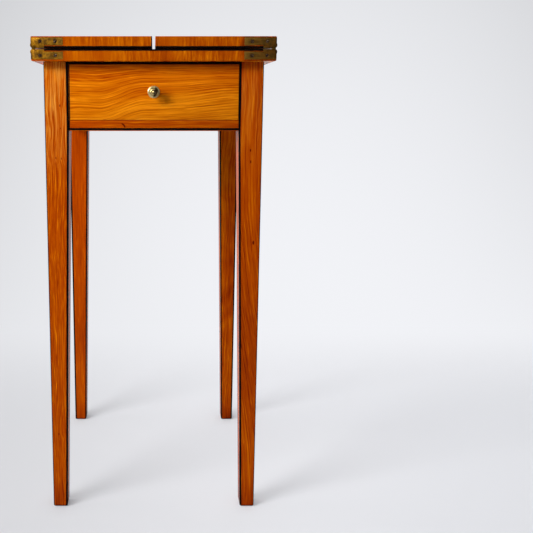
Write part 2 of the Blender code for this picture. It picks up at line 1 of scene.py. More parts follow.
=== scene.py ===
"""Looks of a cherrywood lamp table with a folding top.

Polished boards with ebonised stringing, aged brass link hinges and a turned knob. Metres, +Z up, in the
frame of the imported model. The drawer faces -Y.
"""

import math

import bmesh
import bpy
from mathutils import Matrix, Vector


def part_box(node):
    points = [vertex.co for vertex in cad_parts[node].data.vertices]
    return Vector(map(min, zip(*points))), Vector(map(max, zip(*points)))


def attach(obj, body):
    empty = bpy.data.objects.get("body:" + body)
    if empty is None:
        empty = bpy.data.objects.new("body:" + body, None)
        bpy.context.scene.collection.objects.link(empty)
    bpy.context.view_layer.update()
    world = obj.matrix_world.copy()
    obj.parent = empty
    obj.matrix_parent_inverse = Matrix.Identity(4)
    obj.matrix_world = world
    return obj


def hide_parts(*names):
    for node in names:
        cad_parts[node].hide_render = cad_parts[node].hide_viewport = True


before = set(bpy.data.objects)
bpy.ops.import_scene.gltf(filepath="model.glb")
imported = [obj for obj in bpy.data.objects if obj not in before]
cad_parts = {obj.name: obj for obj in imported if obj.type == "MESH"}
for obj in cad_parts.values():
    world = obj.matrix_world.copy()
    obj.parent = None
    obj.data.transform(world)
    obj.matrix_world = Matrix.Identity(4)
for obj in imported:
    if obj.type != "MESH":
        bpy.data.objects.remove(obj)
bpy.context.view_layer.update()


def seen(red, green, blue):
    """Linear colour of a tint given as it is seen, in 0 to 255."""
    channels = [value / 255 for value in (red, green, blue)]
    return tuple(c / 12.92 if c <= 0.04045 else ((c + 0.055) / 1.055) ** 2.4 for c in channels)


# Photograph's frame and camera
IMAGE_SIZE = 533  # pixels each way
FOCAL_LENGTH = 663.4  # pixels
PRINCIPAL_POINT = (153.7, 203.6)  # pixels from the left and from the top
CAMERA_PLACE = (0, -1.205, 0.6734)
CAMERA_PITCH = math.radians(8.48)  # looking down
SENSOR_WIDTH = 36  # millimetres

SIDES = {"left": -1, "right": 1}
ENDS = {"front": -1, "back": 1}

# Wooden pieces
ARRIS = 0.0006  # easing of ordinary edges
FOOT_EASE = 0.0038
EDGE_ROUND = 0.002  # outer arrises along the hinge edges
KNUCKLE_ROUND = 0.004  # show arrises along the hinge edges
LEG_FOOT = 0.0235  # width of a leg at the floor
LEG_STRING = (0.0013, 0.0030, 0.0026, 0.0030)  # ebonised stringing at a leg's outer arris, then the others
LEAF_STRING = 0.0025  # on the show faces and the edges of the leaves
JOINT_SHADE_ROUND = 0.7  # cosine within which the show arrises along the hinge edges are painted black, as painted shade of the joint's gap
RAIL_STRING_LOW = 0.0010  # above the lower edge of the rail and the side aprons
RAIL_STRING_HIGH = 0.0046
LEFT_GAP_SHADE = 0.0019  # ebonised black at the left end of the drawer and the rail, painted shade of the gap by the leg
TOP_GAP_SHADE = 0.0009  # ebonised black along the drawer's upper edge, painted shade of the gap under the top
FLAP_END_STRING = {"left": 0.0017, "right": 0.0}  # up the ends of a flap at its free edge
SEAT_GAP = 0.0002  # round what is let into the wood

# Link hinges, as built
PIN_INSET = 0.004
PIN_HOLE = 0.0014  # radius
PIN_COVER = 0.0008  # brass outside the pin's end
KNUCKLE_RADIUS = 0.00485
LINK_ROOM = 0.0073
LINK_SLOT = 0.0022
PLATE_LENGTH = 0.0484
PLATE_THICK = 0.0018
PLATE_INSET = 0.0036
PLATE_END = 0.015
PLATE_CORNER = 0.0012
BOSS_LENGTH = 0.020
BOSS_DEPTH = 0.0066
BOSS_HEIGHT = 0.0125
BRASS_EDGE = 0.00035
SCREW_PLACES = (0.0142, 0.0370)
SCREW_DROP = 0.0093
SCREW_HEAD = 0.0027  # radius
SCREW_SHANK = 0.0013  # radius
SCREW_LENGTH = 0.015
SCREW_TAPER = 0.012  # length before the point
SCREW_TIP = 0.25 * SCREW_SHANK  # radius
SCREW_SINK = 0.0014
SCREW_DOME = 0.0002
DOME_ANGLES = (1.4, 1.0, 0.6, 0.2)  # radians up from the rim of a screw's head
SCREW_SLOT = 0.0011
SCREW_SLOT_DEPTH = 0.0007
SLOT_ANGLES = (70, 25, 105, 150)  # degrees
DARK_HEAD_RIM = 0.88 * SCREW_HEAD  # radius past which a head gets dirt and painted shade

# Knob, as built
KNOB_RADIUS = 0.0095
KNOB_PROJECTION = 0.0155
KNOB_HEAD = 0.0075
POST_RADIUS = 0.0025
ROSE_RADIUS = 0.00825
ROSE_THICK = 0.0022
ROSE_LIP = 0.4 * ROSE_THICK  # straight part of the rose's rim
NECK_RADIUS = 0.00425
NECK_FOOT = (1.2 * ROSE_THICK, 1.25 * NECK_RADIUS)  # distance from the drawer, and radius
NECK_START = 1.8 * ROSE_THICK
HEAD_BACK = (0.8 * KNOB_HEAD, 1.3 * NECK_RADIUS)  # distance from the face of the head, and radius
RIM_ROUND = 0.0021  # section of the outer ring of the head
RIM_ARC = (150, -75)  # degrees, from the back of the ring to the groove
RING_RADIUS = 0.0040  # to the middle of the inner ring
RING_ROUND = 0.0012
RING_ARC = (75, -75)
BUTTON_RADIUS = 0.0024
BUTTON_RISE = 0.0012
GROOVE_DEPTH = 0.0016

# How finely shapes are made
PAST = 0.003  # how far a cut runs past an open face
NEAR = 1e-6  # places closer than this are the same
FACING = 0.6  # cosine within which a face looks along an axis
SMOOTH_ANGLE = math.radians(32)  # edges flatter than this are shaded as one surface
CORNER_ANGLE = math.radians(60)  # edges sharper than this are corners
FLAT_ANGLE = math.radians(0.5)
ROUND_SIDES = 40
ARC_STEPS = 12
EASE_STEPS = 2
ARRIS_STEPS = 3
FOOT_STEPS = 3
EDGE_STEPS = 6
KNUCKLE_STEPS = 20
CORNER_STEPS = 4
ROSE_STEPS = 5
RIM_STEPS = 18
BUTTON_STEPS = 8
SWEEP_STEPS = 24

# Old wax polish, thin enough to be dull face on and bright at a low angle
CHERRY_POLISH = 0.55
EBONY_POLISH = 0.10
POLISH_ROUGHNESS = 0.12
POLISH_IOR = 1.10

# Polished cherry. Cells of noise are counted to the metre, first along the grain and then across it. A range
# is where a noise starts to show and where it shows in full, and a depth is how far it changes the tone
CHERRY_STOPS = (  # from the darkest lines at 0 to the palest streaks at 1
    (0.00, seen(86, 18, 0)), (0.25, seen(132, 38, 0)), (0.50, seen(174, 68, 0)),
    (0.75, seen(208, 107, 2)), (1.00, seen(243, 146, 16)),
)
DRIFT_CELLS = (4.5, 9, 9)
RIPPLE_CELLS = (24, 55, 55)
RIPPLE_SHARE = 0.3  # of the sway of the rings
FIBRE_CELLS = (17, 560, 380)
GLINT_CELLS = (22, 520, 380)
GLINT_RANGE = (0.60, 0.74)
GLINT_DEPTH = 0.24  # of the fibres' own
STREAK_CELLS = (3.2, 95, 60)
MOTTLE_CELLS = (7, 15, 15)
MOTTLE_DEPTH = 0.30
PORE_CELLS = (55, 1400, 1400)
PORE_RANGE = (0.66, 0.76)
PORE_DEPTH = 0.10
YEAR_CELLS = (90, 1, 1)  # out from the pith
YEAR_SPREAD = 2.4  # good and bad years, in rings
LINE_SLOPE = 2.6  # power with which a year's growth darkens
LINE_END = (0.90, 1.0)  # part of the year in which it pales again
LINE_BREAK_CELLS = (19, 140, 140)
LINE_BREAK_RANGE = (0.30, 0.62)
FAINTEST_YEAR = 0.35
FAINTEST_BREAK = 0.3
FLAME_CELLS = (22, 7, 7)
FLAME_SLANT = 12 / 22  # along the grain for each metre across it
FLAME_SWAY = 5 / 22
CHERRY_RELIEF = 0.00008
PAINTED_SHEEN = seen(212, 168, 80)  # painted sheen, a pale reflection in the polish painted into the colour
PAINTED_SHEEN_HEIGHTS = (0.54, 0.68)  # none below the first, full above the second
KNOT_DEPTH = 0.5
KNOT_STRETCH = 2.2  # along the grain
KNOT_HEART = (0.25, 1.1)  # squared distance, in radii, where a knot starts to pale and where it ends
KNOT_SWELL = 1.1  # radii by which the rings go round a knot
KNOT_EASE = 0.12  # how soon they run straight again
SCAR_DEPTH = 0.7
SCAR_EDGE = (0.0006, 0.0014)  # from the middle of the scar's line

# Marks in the boards. A fade is the height where it is dark, the height where it has gone, and its depth
# Fades at the foot: dirt in its lowest millimetres, then painted shade up the lower leg near the floor
FOOT_DIRT_AND_SHADE = ((0.0, 0.006, 0.30), (0.0, 0.060, 0.16))
LEFT_KNOTS = (  # x, height and radius on the front of the left leg
    (-0.1453, 0.672, 0.0011), (-0.1447, 0.637, 0.0007), (-0.1529, 0.591, 0.0009), (-0.1445, 0.590, 0.0009),
    (-0.1577, 0.131, 0.0009),
)
RIGHT_KNOTS = ((0.1510, 0.603, 0.0012), (0.1518, 0.585, 0.0013), (0.1587, 0.456, 0.0018))
BACK_KNOTS = ((-0.1415, 0.262, 0.0030),)  # on the front of the left leg at the back
RAIL_SCAR = (-0.0505, 0.6385, 0.0055)  # x, height and radius

# What cherry() takes for each board, because no two boards of the table look alike
BOARDS = {
    # The front left leg is paler, and paler still towards its top by its first fade, partly as painted light
    "leg_front_left": dict(
        along="Z", tone=0.69, pith=(-0.34, -0.30), seed=1.3, lines=0.14, streaks=0.14, fibres=1.15,
        fineness=1.4, painted_sheen=0.34, fades=((0.50, 0.74, 0.17), *FOOT_DIRT_AND_SHADE), knots=LEFT_KNOTS),
    # The front right leg is darker, partly as painted shade
    "leg_front_right": dict(
        along="Z", tone=0.49, pith=(0.36, -0.22), seed=2.6, lines=0.24, streaks=0.40,
        flow=((0.05, 0.55, -0.060),), painted_sheen=0.08, fades=FOOT_DIRT_AND_SHADE, knots=RIGHT_KNOTS),
    "leg_back_left": dict(
        along="Z", tone=0.48, pith=(-0.34, 0.25), seed=3.9, lines=0.10, fibres=0.50, fades=FOOT_DIRT_AND_SHADE,
        knots=BACK_KNOTS),
    "leg_back_right": dict(
        along="Z", tone=0.55, pith=(0.33, 0.28), seed=5.1, lines=0.25, streaks=0.60, curl=0.40,
        fades=FOOT_DIRT_AND_SHADE),
    "apron_left": dict(along="Y", tone=0.55, pith=(-0.10, 0.52), seed=6.2),
    "apron_right": dict(along="Y", tone=0.52, pith=(0.11, 0.86), seed=7.7),
    "apron_back": dict(along="X", tone=0.50, pith=(0.24, 0.52), seed=8.4),
    "front_rail": dict(along="X", tone=0.50, pith=(-0.05, 0.50), seed=9.5, lines=0.15, scar=RAIL_SCAR),
    # The drawer front's fade darkens its top as painted shadow of the top's overhang
    "drawer_front": dict(
        along="X", tone=0.83, pith=(-0.16, 0.45), seed=11.2, sway=0.008, lines=0.33, streaks=0.40,
        fibres=0.85, flow=((-0.085, -0.010, -0.022), (0.00, 0.14, -0.010)), calm=(0.738, 0.690),
        fades=((0.735, 0.665, 0.17),)),
    "fixed_top": dict(
        along="Y", tone=0.77, pith=(0.05, 0.60), seed=12.8, spacing=0.0060, sway=0.022, lines=0.36,
        streaks=0.55, fibres=0.85, curl=0.25),
    "flap_left": dict(along="Y", tone=0.57, pith=(-0.40, 0.70), seed=14.1, lines=0.20, fibres=0.60),
    "flap_right": dict(along="Y", tone=0.76, pith=(0.20, 0.62), seed=15.9, fibres=0.85, curl=0.9),
}

# End grain of the leaves. Cells are counted along x, y and z from here on
END_TONE = 0.55
END_SEED = 4.2
END_LEAN = 0.012  # how far the stripes lean over
END_LEAN_CELLS = (14, 14, 14)
END_STRIPE_CELLS = (300, 20, 34)
END_BROAD_CELLS = (40, 5, 9)
END_PATCH_CELLS = (25, 4, 20)
END_PORE_CELLS = (1300, 1300, 1300)
END_STAIN = (0.19, 0.085, 0.0)
END_RELIEF = 0.0001
HINGE_DIRT_AND_SHADE = (0.130, 0.138)  # from the table's middle, where the dirt and painted shade by the hinges start and are full
HINGE_SHADE_RISE = (-0.1, 0.1)  # over which it grows darker, as painted shade towards the less lit right

# Ebonised wood
EBONY = (0.004, 0.0032, 0.0028)
EBONY_RUBBED = (0.035, 0.018, 0.010)
EBONY_CELLS = (120, 120, 30)
EBONY_RELIEF = 0.00005

# Bare lining of the drawer
LINING_DARK = (0.30, 0.165, 0.070)
LINING_PALE = (0.50, 0.315, 0.155)
LINING_RING = (0.24, 0.115, 0.042)
LINING_GRIME = (0.13, 0.072, 0.032)
LINING_SPACING = 0.0065  # of the growth rings
LINING_SLANT = 0.6
LINING_SWAY = 0.03
LINING_DRIFT_CELLS = (6, 3, 9)
LINING_FIBRE_CELLS = (300, 10, 300)
LINING_GRIME_CELLS = (16, 16, 16)
LINING_RELIEF = 0.0002

# Brass of the hinges and their screws
SIDE_PATINA_AND_SHADE = {  # dull and cleaner tint of the hinges on each side, those on the right darker as painted shade
    "left": ((0.100, 0.033, 0.0012), (0.400, 0.165, 0.0045)),
    "right": ((0.026, 0.006, 0.0004), (0.100, 0.028, 0.0010)),
}
PATINA_CELLS = (170, 170, 170)
GRIT_CELLS = (900, 900, 900)
GRIT = (0.036, 0.013, 0.002)
SCRATCH_CELLS = (80, 2200, 2200)
SCRATCHED = (0.40, 0.21, 0.030)
RUBBED_RIM = (0.48, 0.28, 0.05)
KNUCKLE_SHADE_PLACES = (0.1805, 0.1850)  # from the table's middle, where painted shade on the rounded knuckles starts and is darkest
PAINTED_KNUCKLE_SHADE = (0.040, 0.016, 0.001)
PATINA_RELIEF = 0.00012
SCREW_CELLS = (420, 420, 420)
SCREW_BRIGHT_CELLS = (700, 300, 500)
SCREW_DARK = (0.030, 0.014, 0.008)
SCREW_BROWN = (0.130, 0.062, 0.026)
SCREW_RUB_AND_HIGHLIGHT = (0.62, 0.48, 0.30)
SCREW_RELIEF = 0.00008
SLOT_CELLS = (1500, 1500, 1500)
SLOT_DARK = (0.006, 0.003, 0.002)

# Brass of the knob
KNOB_CELLS = (240, 240, 240)
KNOB_DULL = (0.60, 0.45, 0.17)
KNOB_BRIGHT = (0.86, 0.72, 0.38)
# Painted shade over the right side of the knob
KNOB_PAINTED_SHADE = (0.030, 0.013, 0.005)
KNOB_DIRT = (0.045, 0.020, 0.006)
KNOB_RELIEF = 0.00005
KNOB_SHADE_EDGE = (-0.0008, 0.0022)  # across the face of the head, where the painted shade begins and is full
KNOB_SHADE_LEAN = 0.2
KNOB_SHADE_FRAY = 0.005
KNOB_SHADE_THINS = (0.0066, 0.0084)  # radii between which the painted shade thins

# Backdrop
WALL_Y = 0.8  # where the floor starts to sweep up behind the table
NEAR_WALL_Y = 3.2  # the same behind the camera
SWEEP = 0.9  # radius
WALL_HEIGHT = 4.0
HALF_WIDTH = 14.0
# The floor's own colour is painted shade on the left of the table, growing paler to the right
FLOOR_LEFT = seen(174, 175, 178)
FLOOR_RIGHT = seen(244, 245, 249)
FLOOR_CHANGE = (-0.4, 0.4)  # x over which one shade goes over to the other
GLOW_PLACE = (0.6, 0.9, 0.2)
GLOW_DEPTH = 0.62  # narrowing of distances along y
GLOW_SPREAD = 2.6  # square of the distance at which the glow has gone
GLOW_MIDDLE = seen(242, 243, 247)
GLOW_EDGE = seen(211, 212, 215)
GLOW_SHARE = 0.60  # painted part of the floor's look in front of the table
GLOW_GROWS = (0.10, 0.75)  # y over which that part grows to the whole
FOOT_SHADOW = 0.035  # reach of the shadow round a foot

# Light
ROOM_TINT = seen(238, 239, 243)
ROOM_LEFT = 0.54  # strength of the light from the left
ROOM_RIGHT = 0.08
ROOM_SEEN = 0.80  # strength of the room as it is seen
ROOM_CHANGE = (-0.5, 0.5)  # sideways part of the directions between them
LAMPS = {
    "key": dict(place=(-2.00, -1.20, 1.60), aim=(-2.00, 0, 1.15), size=(2.20, 0.85), power=130),
    "window": dict(place=(-4.50, 0.40, 1.20), aim=(0, 0, 0.45), size=(1.80, 1.80), power=50),
}


# Finishes

class Signal:
    """A socket's value, with arithmetic that adds Math nodes."""

    def __init__(self, recipe, socket):
        self.recipe = recipe
        self.socket = socket

    def __add__(self, other):
        return self.recipe.math("ADD", self, other)

    def __radd__(self, other):
        return self.recipe.math("ADD", other, self)

    def __sub__(self, other):
        return self.recipe.math("SUBTRACT", self, other)

    def __rsub__(self, other):
        return self.recipe.math("SUBTRACT", other, self)

    def __mul__(self, other):
        return self.recipe.math("MULTIPLY", self, other)

    def __rmul__(self, other):
        return self.recipe.math("MULTIPLY", other, self)

    def __truediv__(self, other):
        return self.recipe.math("DIVIDE", self, other)

    def __rtruediv__(self, other):
        return self.recipe.math("DIVIDE", other, self)

    def __pow__(self, other):
        return self.recipe.math("POWER", self, other)

    def __abs__(self):
        return self.recipe.math("ABSOLUTE", self)

    def output(self, name):
        """Another output of the same node."""
        return Signal(self.recipe, self.socket.node.outputs[name])


class Recipe:
    """Node tree of one finish, or of the room's light."""

    def __init__(self, owner, shader="Principled BSDF"):
        owner.use_nodes = True
        self.owner = owner
        self.tree = owner.node_tree
        self.shader = self.tree.nodes[shader]

    def add(self, kind, settings, sockets, output=0):
        """Adds a node, with its settings first, then the values or links of its sockets."""
        node = self.tree.nodes.new(kind)
        for setting, value in settings.items():
            if setting == "stops":
                self.set_stops(node.color_ramp, value)
            else:
                setattr(node, setting, value)
        for socket, value in sockets.items():
            self.feed(node.inputs[socket], value)
        return Signal(self, node.outputs[output])

    def set_stops(self, ramp, stops):
        while len(ramp.elements) < len(stops):
            ramp.elements.new(1)
        for element, (place, colour) in zip(ramp.elements, stops):
            element.position = place
            element.color = (*colour, 1)

    def feed(self, socket, value):
        if isinstance(value, Signal):
            self.tree.links.new(value.socket, socket)
        elif socket.type == "RGBA":
            socket.default_value = (*value, 1)
        else:
            socket.default_value = value

    def shade(self, **sockets):
        """Feeds the shader's sockets, named with underscores for spaces."""
        for socket, value in sockets.items():
            self.feed(self.shader.inputs[socket.replace("_", " ")], value)
        return self.owner

    def math(self, operation, *values):
        return self.add("ShaderNodeMath", {"operation": operation}, dict(enumerate(values)))

    def clamped(self, value):
        return self.add("ShaderNodeClamp", {}, {"Value": value})

    def between(self, value, start, stop):
        """0 up to start, 1 past stop and a smooth step between them. Stop may be the lower one."""
        sockets = {"Value": value, "From Min": start, "From Max": stop}
        return self.add("ShaderNodeMapRange", {"interpolation_type": "SMOOTHSTEP"}, sockets)

    def place(self):
        """x, y and z on the piece, in metres, which stay with it when it moves."""
        coordinates = self.add("ShaderNodeTexCoord", {}, {}, "Object")
        x = self.add("ShaderNodeSeparateXYZ", {}, {"Vector": coordinates})
        return x, x.output("Y"), x.output("Z")

    def noise(self, place, cells, detail=2.0, roughness=0.5, seed=0.0):
        """Clouds of values round 0.5, with so many cells to the metre each way."""
        x, y, z = [distance * count for distance, count in zip(place, cells)]
        if seed:
            x = x + seed
        vector = self.add("ShaderNodeCombineXYZ", {}, {"X": x, "Y": y, "Z": z})
        sockets = {"Vector": vector, "Scale": 1.0, "Detail": detail, "Roughness": roughness}
        return self.add("ShaderNodeTexNoise", {}, sockets)

    def mix(self, factor, first, second):
        """Colour that goes from the first to the second."""
        return self.add("ShaderNodeMix", {"data_type": "RGBA"}, {0: factor, 6: first, 7: second}, 2)

    def bump(self, height, relief, strength):
        return self.add("ShaderNodeBump", {}, {"Height": height, "Distance": relief, "Strength": strength})

    def pointiness(self):
        """Over 0.5 on edges that stand out, and under it in grooves."""
        return self.add("ShaderNodeNewGeometry", {}, {}, "Pointiness")

    def polish(self, weight):
        self.shade(Specular_IOR_Level=0.0, Coat_Weight=weight)
        return self.shade(Coat_Roughness=POLISH_ROUGHNESS, Coat_IOR=POLISH_IOR)

    def looked_at(self):
        """1 for rays that show the stage, straight or in a reflection, and 0 for those that carry light."""
        rays = self.add("ShaderNodeLightPath", {}, {}, "Is Camera Ray")
        return self.clamped(rays + rays.output("Is Glossy Ray") + rays.output("Is Transmission Ray"))


def new_finish(name):
    return Recipe(bpy.data.materials.new(name))


class Log:
    """Places on a cherry board, measured in the log that it was sawn from."""

    def __init__(self, recipe, node, along, pith, seed, sway):
        axes = dict(zip("XYZ", recipe.place()))
        self.height = axes["Z"]
        self.grain = axes.pop(along)
        self.along = self.grain + seed
        self.across, self.depth = axes.values()
        self.place = (self.along, self.across, self.depth)
        low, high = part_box(node)
        middle = dict(zip("XYZ", (low + high) / 2))
        outward = (Vector([middle[axis] for axis in axes]) - Vector(pith)).normalized()
        self.tangent = self.across * outward.y - self.depth * outward.x
        self.drift = recipe.noise(self.place, DRIFT_CELLS) - 0.5
        self.aside = self.across - pith[0] + self.drift * sway * 2
        self.behind = self.depth - pith[1] + self.drift * sway * 2


def ring_radius(recipe, log, sway, flow, calm):
    """How far from the pith the wood grew, with the wander of the rings."""
    ripple = recipe.noise(log.place, RIPPLE_CELLS) - 0.5
    lift = sum(rise * recipe.between(log.grain, start, stop) for start, stop, rise in flow)
    if calm:
        lift = lift * recipe.between(log.depth, *calm)
    return (log.aside * log.aside + log.behind * log.behind) ** 0.5 + lift + ripple * sway * RIPPLE_SHARE


def late_wood(recipe, log, radius, spacing, seed):
    """Dark line at the end of each year's growth, stronger in some years and broken here and there."""
    years = radius / spacing + recipe.noise((radius, seed, 0), YEAR_CELLS) * YEAR_SPREAD
    ring = recipe.math("FRACT", years)
    year = recipe.math("FLOOR", years)
    strength = recipe.add("ShaderNodeTexWhiteNoise", {"noise_dimensions": "1D"}, {"W": year})
    breaks = recipe.noise((log.along, log.behind, log.aside), LINE_BREAK_CELLS)
    whole = recipe.between(breaks, *LINE_BREAK_RANGE)
    line = ring ** LINE_SLOPE * (1 - recipe.between(ring, *LINE_END))
    return line * (FAINTEST_YEAR + strength) * (FAINTEST_BREAK + whole)


def pin_knots(recipe, log, knots, front):
    """Dark hearts of knots in the front of a leg, and how far the growth rings swell round them."""
    hearts, swell = 0, 0
    for x, height, radius in knots:
        offsets = ((log.grain - height) / KNOT_STRETCH, log.across - x, log.depth - front)
        reach = sum(offset * offset for offset in offsets) / radius ** 2
        hearts = hearts + (1 - recipe.between(reach, *KNOT_HEART))
        swell = swell + KNOT_SWELL * radius / (1 + reach * KNOT_EASE)
    return hearts, swell


def healed_scar(recipe, log, scar):
    """Short dark crescent, a quarter of a ring, in the front of the rail."""
    x, height, radius = scar
    ahead, above = log.grain - x, log.depth - height
    off_ring = abs((ahead * ahead + above * above) ** 0.5 - radius)
    quarter = recipe.between(ahead, 0, radius * 0.3) * recipe.between(above, -radius * 0.2, radius * 0.2)
    return (1 - recipe.between(off_ring, *SCAR_EDGE)) * quarter


def finer(cells, fineness):
    """Cells that are smaller across the grain."""
    along, across, around = cells
    return along, across * fineness, around * fineness


def cherry_ramp(recipe, shade):
    return recipe.add("ShaderNodeValToRGB", {"stops": CHERRY_STOPS}, {"Fac": shade})


def cherry(node, along, tone, pith, seed, spacing=0.0046, sway=0.010, lines=0.30, streaks=0.30, fibres=0.70,
           fineness=1.0, curl=0.0, flow=(), calm=None, knots=(), scar=None, fades=(), painted_sheen=0.0):
    """Polished cherry for one board, sawn from a log whose pith runs along X, Y or Z.

    Tone is how pale the board is. Spacing and sway are of the growth rings. Lines, streaks, fibres and curl
    are how strongly these show. Flow shifts the rings between two places along the grain, less and less
    towards the first depth of calm. Each fade goes from darker at one height to the board's own tone at
    another. The last argument paints a sheen near the top: a pale reflection in the polish, painted
    highlight.
    """
    recipe = new_finish(f"cherry_{node}")
    log = Log(recipe, node, along, pith, seed, sway)
    hearts, swell = pin_knots(recipe, log, knots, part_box(node)[0].y)
    radius = ring_radius(recipe, log, sway, flow, calm) + swell
    grown = (log.along, radius, log.tangent)
    fibre = recipe.noise(grown, finer(FIBRE_CELLS, fineness), 3.0, 0.65)
    glint = recipe.between(recipe.noise(grown, finer(GLINT_CELLS, fineness), 1.0), *GLINT_RANGE)
    streak = recipe.noise(grown, STREAK_CELLS)
    mottle = recipe.noise(log.place, MOTTLE_CELLS)
    pores = recipe.between(recipe.noise(log.place, PORE_CELLS, 1.0), *PORE_RANGE)
    slanted = log.along + log.across * FLAME_SLANT + log.drift * FLAME_SWAY
    flame = recipe.noise((slanted, log.across, log.depth), FLAME_CELLS, 1.0) - 0.5
    shade = tone + (fibre - 0.5) * fibres + (streak - 0.5) * streaks + (mottle - 0.5) * MOTTLE_DEPTH
    shade = shade + flame * curl
    for dark_height, clean_height, amount in fades:
        shade = shade + (recipe.between(log.height, dark_height, clean_height) - 1) * amount
    late = late_wood(recipe, log, radius, spacing, seed)
    shade = shade + glint * fibres * GLINT_DEPTH - late * lines - pores * PORE_DEPTH - hearts * KNOT_DEPTH
    if scar:
        shade = shade - healed_scar(recipe, log, scar) * SCAR_DEPTH
    colour = cherry_ramp(recipe, shade)
    if painted_sheen:
        # painted highlight: pale streaks of sheen near the top, painted into the colour
        sheen_mask = recipe.between(fibre, 0.42, 0.66) * recipe.between(log.height, *PAINTED_SHEEN_HEIGHTS)
        colour = recipe.mix(sheen_mask * painted_sheen, colour, PAINTED_SHEEN)
    normal = recipe.bump(fibre * 0.4 - pores, CHERRY_RELIEF, 0.3)
    recipe.shade(Base_Color=colour, Roughness=0.30 + fibre * 0.18, Normal=normal)
    return recipe.polish(CHERRY_POLISH)


def cherry_ends():
    """End grain on the front and back edges of the leaves, which shows as short upright stripes."""
    recipe = new_finish("cherry_ends")
    place = recipe.place()
    x, y, z = place
    lean = recipe.noise(place, END_LEAN_CELLS, seed=END_SEED) - 0.5
    stripe = recipe.noise((x + lean * END_LEAN, y, z), END_STRIPE_CELLS, 3.0, 0.65, END_SEED)
    broad = recipe.noise(place, END_BROAD_CELLS, seed=END_SEED)
    striped = recipe.between(recipe.noise(place, END_PATCH_CELLS, seed=-END_SEED), 0.40, 0.62)
    pore = recipe.noise(place, END_PORE_CELLS, 1.0)
    shade = END_TONE + (stripe - 0.5) * (0.40 + striped * 0.95) + (broad - 0.5) * 0.55
    shade = shade - recipe.between(pore, 0.62, 0.75) * 0.12
    # dirt by the hinges, with painted shade making it darker on the right
    dirt_and_shade_by_hinge = recipe.between(abs(x), *HINGE_DIRT_AND_SHADE)
    shade = shade - dirt_and_shade_by_hinge * (0.12 + 0.22 * recipe.between(x, *HINGE_SHADE_RISE))
    colour = recipe.mix(0.15, cherry_ramp(recipe, shade), END_STAIN)
    normal = recipe.bump(stripe - pore * 0.3, END_RELIEF, 0.35)
    recipe.shade(Base_Color=colour, Roughness=0.36 + stripe * 0.2, Normal=normal)
    return recipe.polish(CHERRY_POLISH)


def ebonised_wood():
    recipe = new_finish("ebonised_wood")
    rub = recipe.noise(recipe.place(), EBONY_CELLS, 3.0)
    wear = recipe.between(rub, 0.62, 0.80)
    colour = recipe.mix(wear * 0.5, EBONY, EBONY_RUBBED)
    recipe.shade(Base_Color=colour, Roughness=0.34 + rub * 0.25, Normal=recipe.bump(rub, EBONY_RELIEF, 0.3))
    return recipe.polish(EBONY_POLISH)


def bare_lining():
    """Unpolished wood of the drawer's inside and of what carries it."""
    recipe = new_finish("bare_lining")
    place = recipe.place()
    x, _, z = place
    drift = recipe.noise(place, LINING_DRIFT_CELLS) - 0.5
    ring = recipe.math("FRACT", (x * LINING_SLANT + z + drift * LINING_SWAY) / LINING_SPACING)
    fibre = recipe.noise(place, LINING_FIBRE_CELLS, 3.0, 0.6)
    grime = recipe.noise(place, LINING_GRIME_CELLS, 3.0)
    colour = recipe.mix(recipe.between(fibre, 0.3, 0.7), LINING_DARK, LINING_PALE)
    colour = recipe.mix(recipe.between(ring, 0.35, 0.95) * 0.45, colour, LINING_RING)
    colour = recipe.mix(recipe.between(grime, 0.52, 0.8) * 0.5, colour, LINING_GRIME)
    normal = recipe.bump(fibre, LINING_RELIEF, 0.4)
    return recipe.shade(Base_Color=colour, Roughness=0.62 + fibre * 0.2, Normal=normal,
                        Specular_IOR_Level=0.25)


def aged_brass(name, dull, clean):
    """Olive patina from a dull to a cleaner tint, rubbed to paler brass on edges and in scratches."""
    recipe = new_finish(name)
    place = recipe.place()
    cloud = recipe.noise(place, PATINA_CELLS, 4.0, 0.6)
    grit = recipe.noise(place, GRIT_CELLS, 2.0)
    scratch = recipe.noise(place, SCRATCH_CELLS, 1.0)
    rubbed = recipe.between(recipe.pointiness(), 0.51, 0.60)
    knuckle_shade = recipe.between(abs(place[0]), *KNUCKLE_SHADE_PLACES)
    colour = recipe.mix(recipe.between(cloud, 0.36, 0.64), dull, clean)
    colour = recipe.mix(recipe.between(scratch, 0.64, 0.72) * 0.3, colour, SCRATCHED)
    colour = recipe.mix(rubbed * 0.6, colour, RUBBED_RIM)
    colour = recipe.mix(recipe.between(grit, 0.60, 0.74) * 0.6, colour, GRIT)
    # painted shade on the rounded outer ends, which turn away from the light
    colour = recipe.mix(knuckle_shade * 0.8, colour, PAINTED_KNUCKLE_SHADE)
    rough = 0.46 - rubbed * 0.12 + (cloud - 0.5) * 0.3
    normal = recipe.bump(cloud * 0.6 - grit * 0.4, PATINA_RELIEF, 0.5)
    return recipe.shade(Base_Color=colour, Roughness=rough, Metallic=1.0 - cloud * 0.3, Normal=normal,
                        Specular_IOR_Level=0.05)


def screw_brass():
    """Brown, worn screw heads with a few bright spots, partly rubbed brass and partly painted highlight."""
    recipe = new_finish("screw_brass")
    place = recipe.place()
    cloud = recipe.noise(place, SCREW_CELLS, 3.0, 0.6)
    # bright spots, partly rubbed brass and partly painted highlight
    rub = recipe.between(recipe.noise(place, SCREW_BRIGHT_CELLS, 1.0), 0.58, 0.68)
    colour = recipe.mix(recipe.between(cloud, 0.35, 0.65), SCREW_DARK, SCREW_BROWN)
    colour = recipe.mix(rub * 0.8, colour, SCREW_RUB_AND_HIGHLIGHT)
    normal = recipe.bump(cloud, SCREW_RELIEF, 0.5)
    return recipe.shade(Base_Color=colour, Roughness=0.42 - rub * 0.14, Metallic=0.9, Normal=normal,
                        Specular_IOR_Level=0.1)


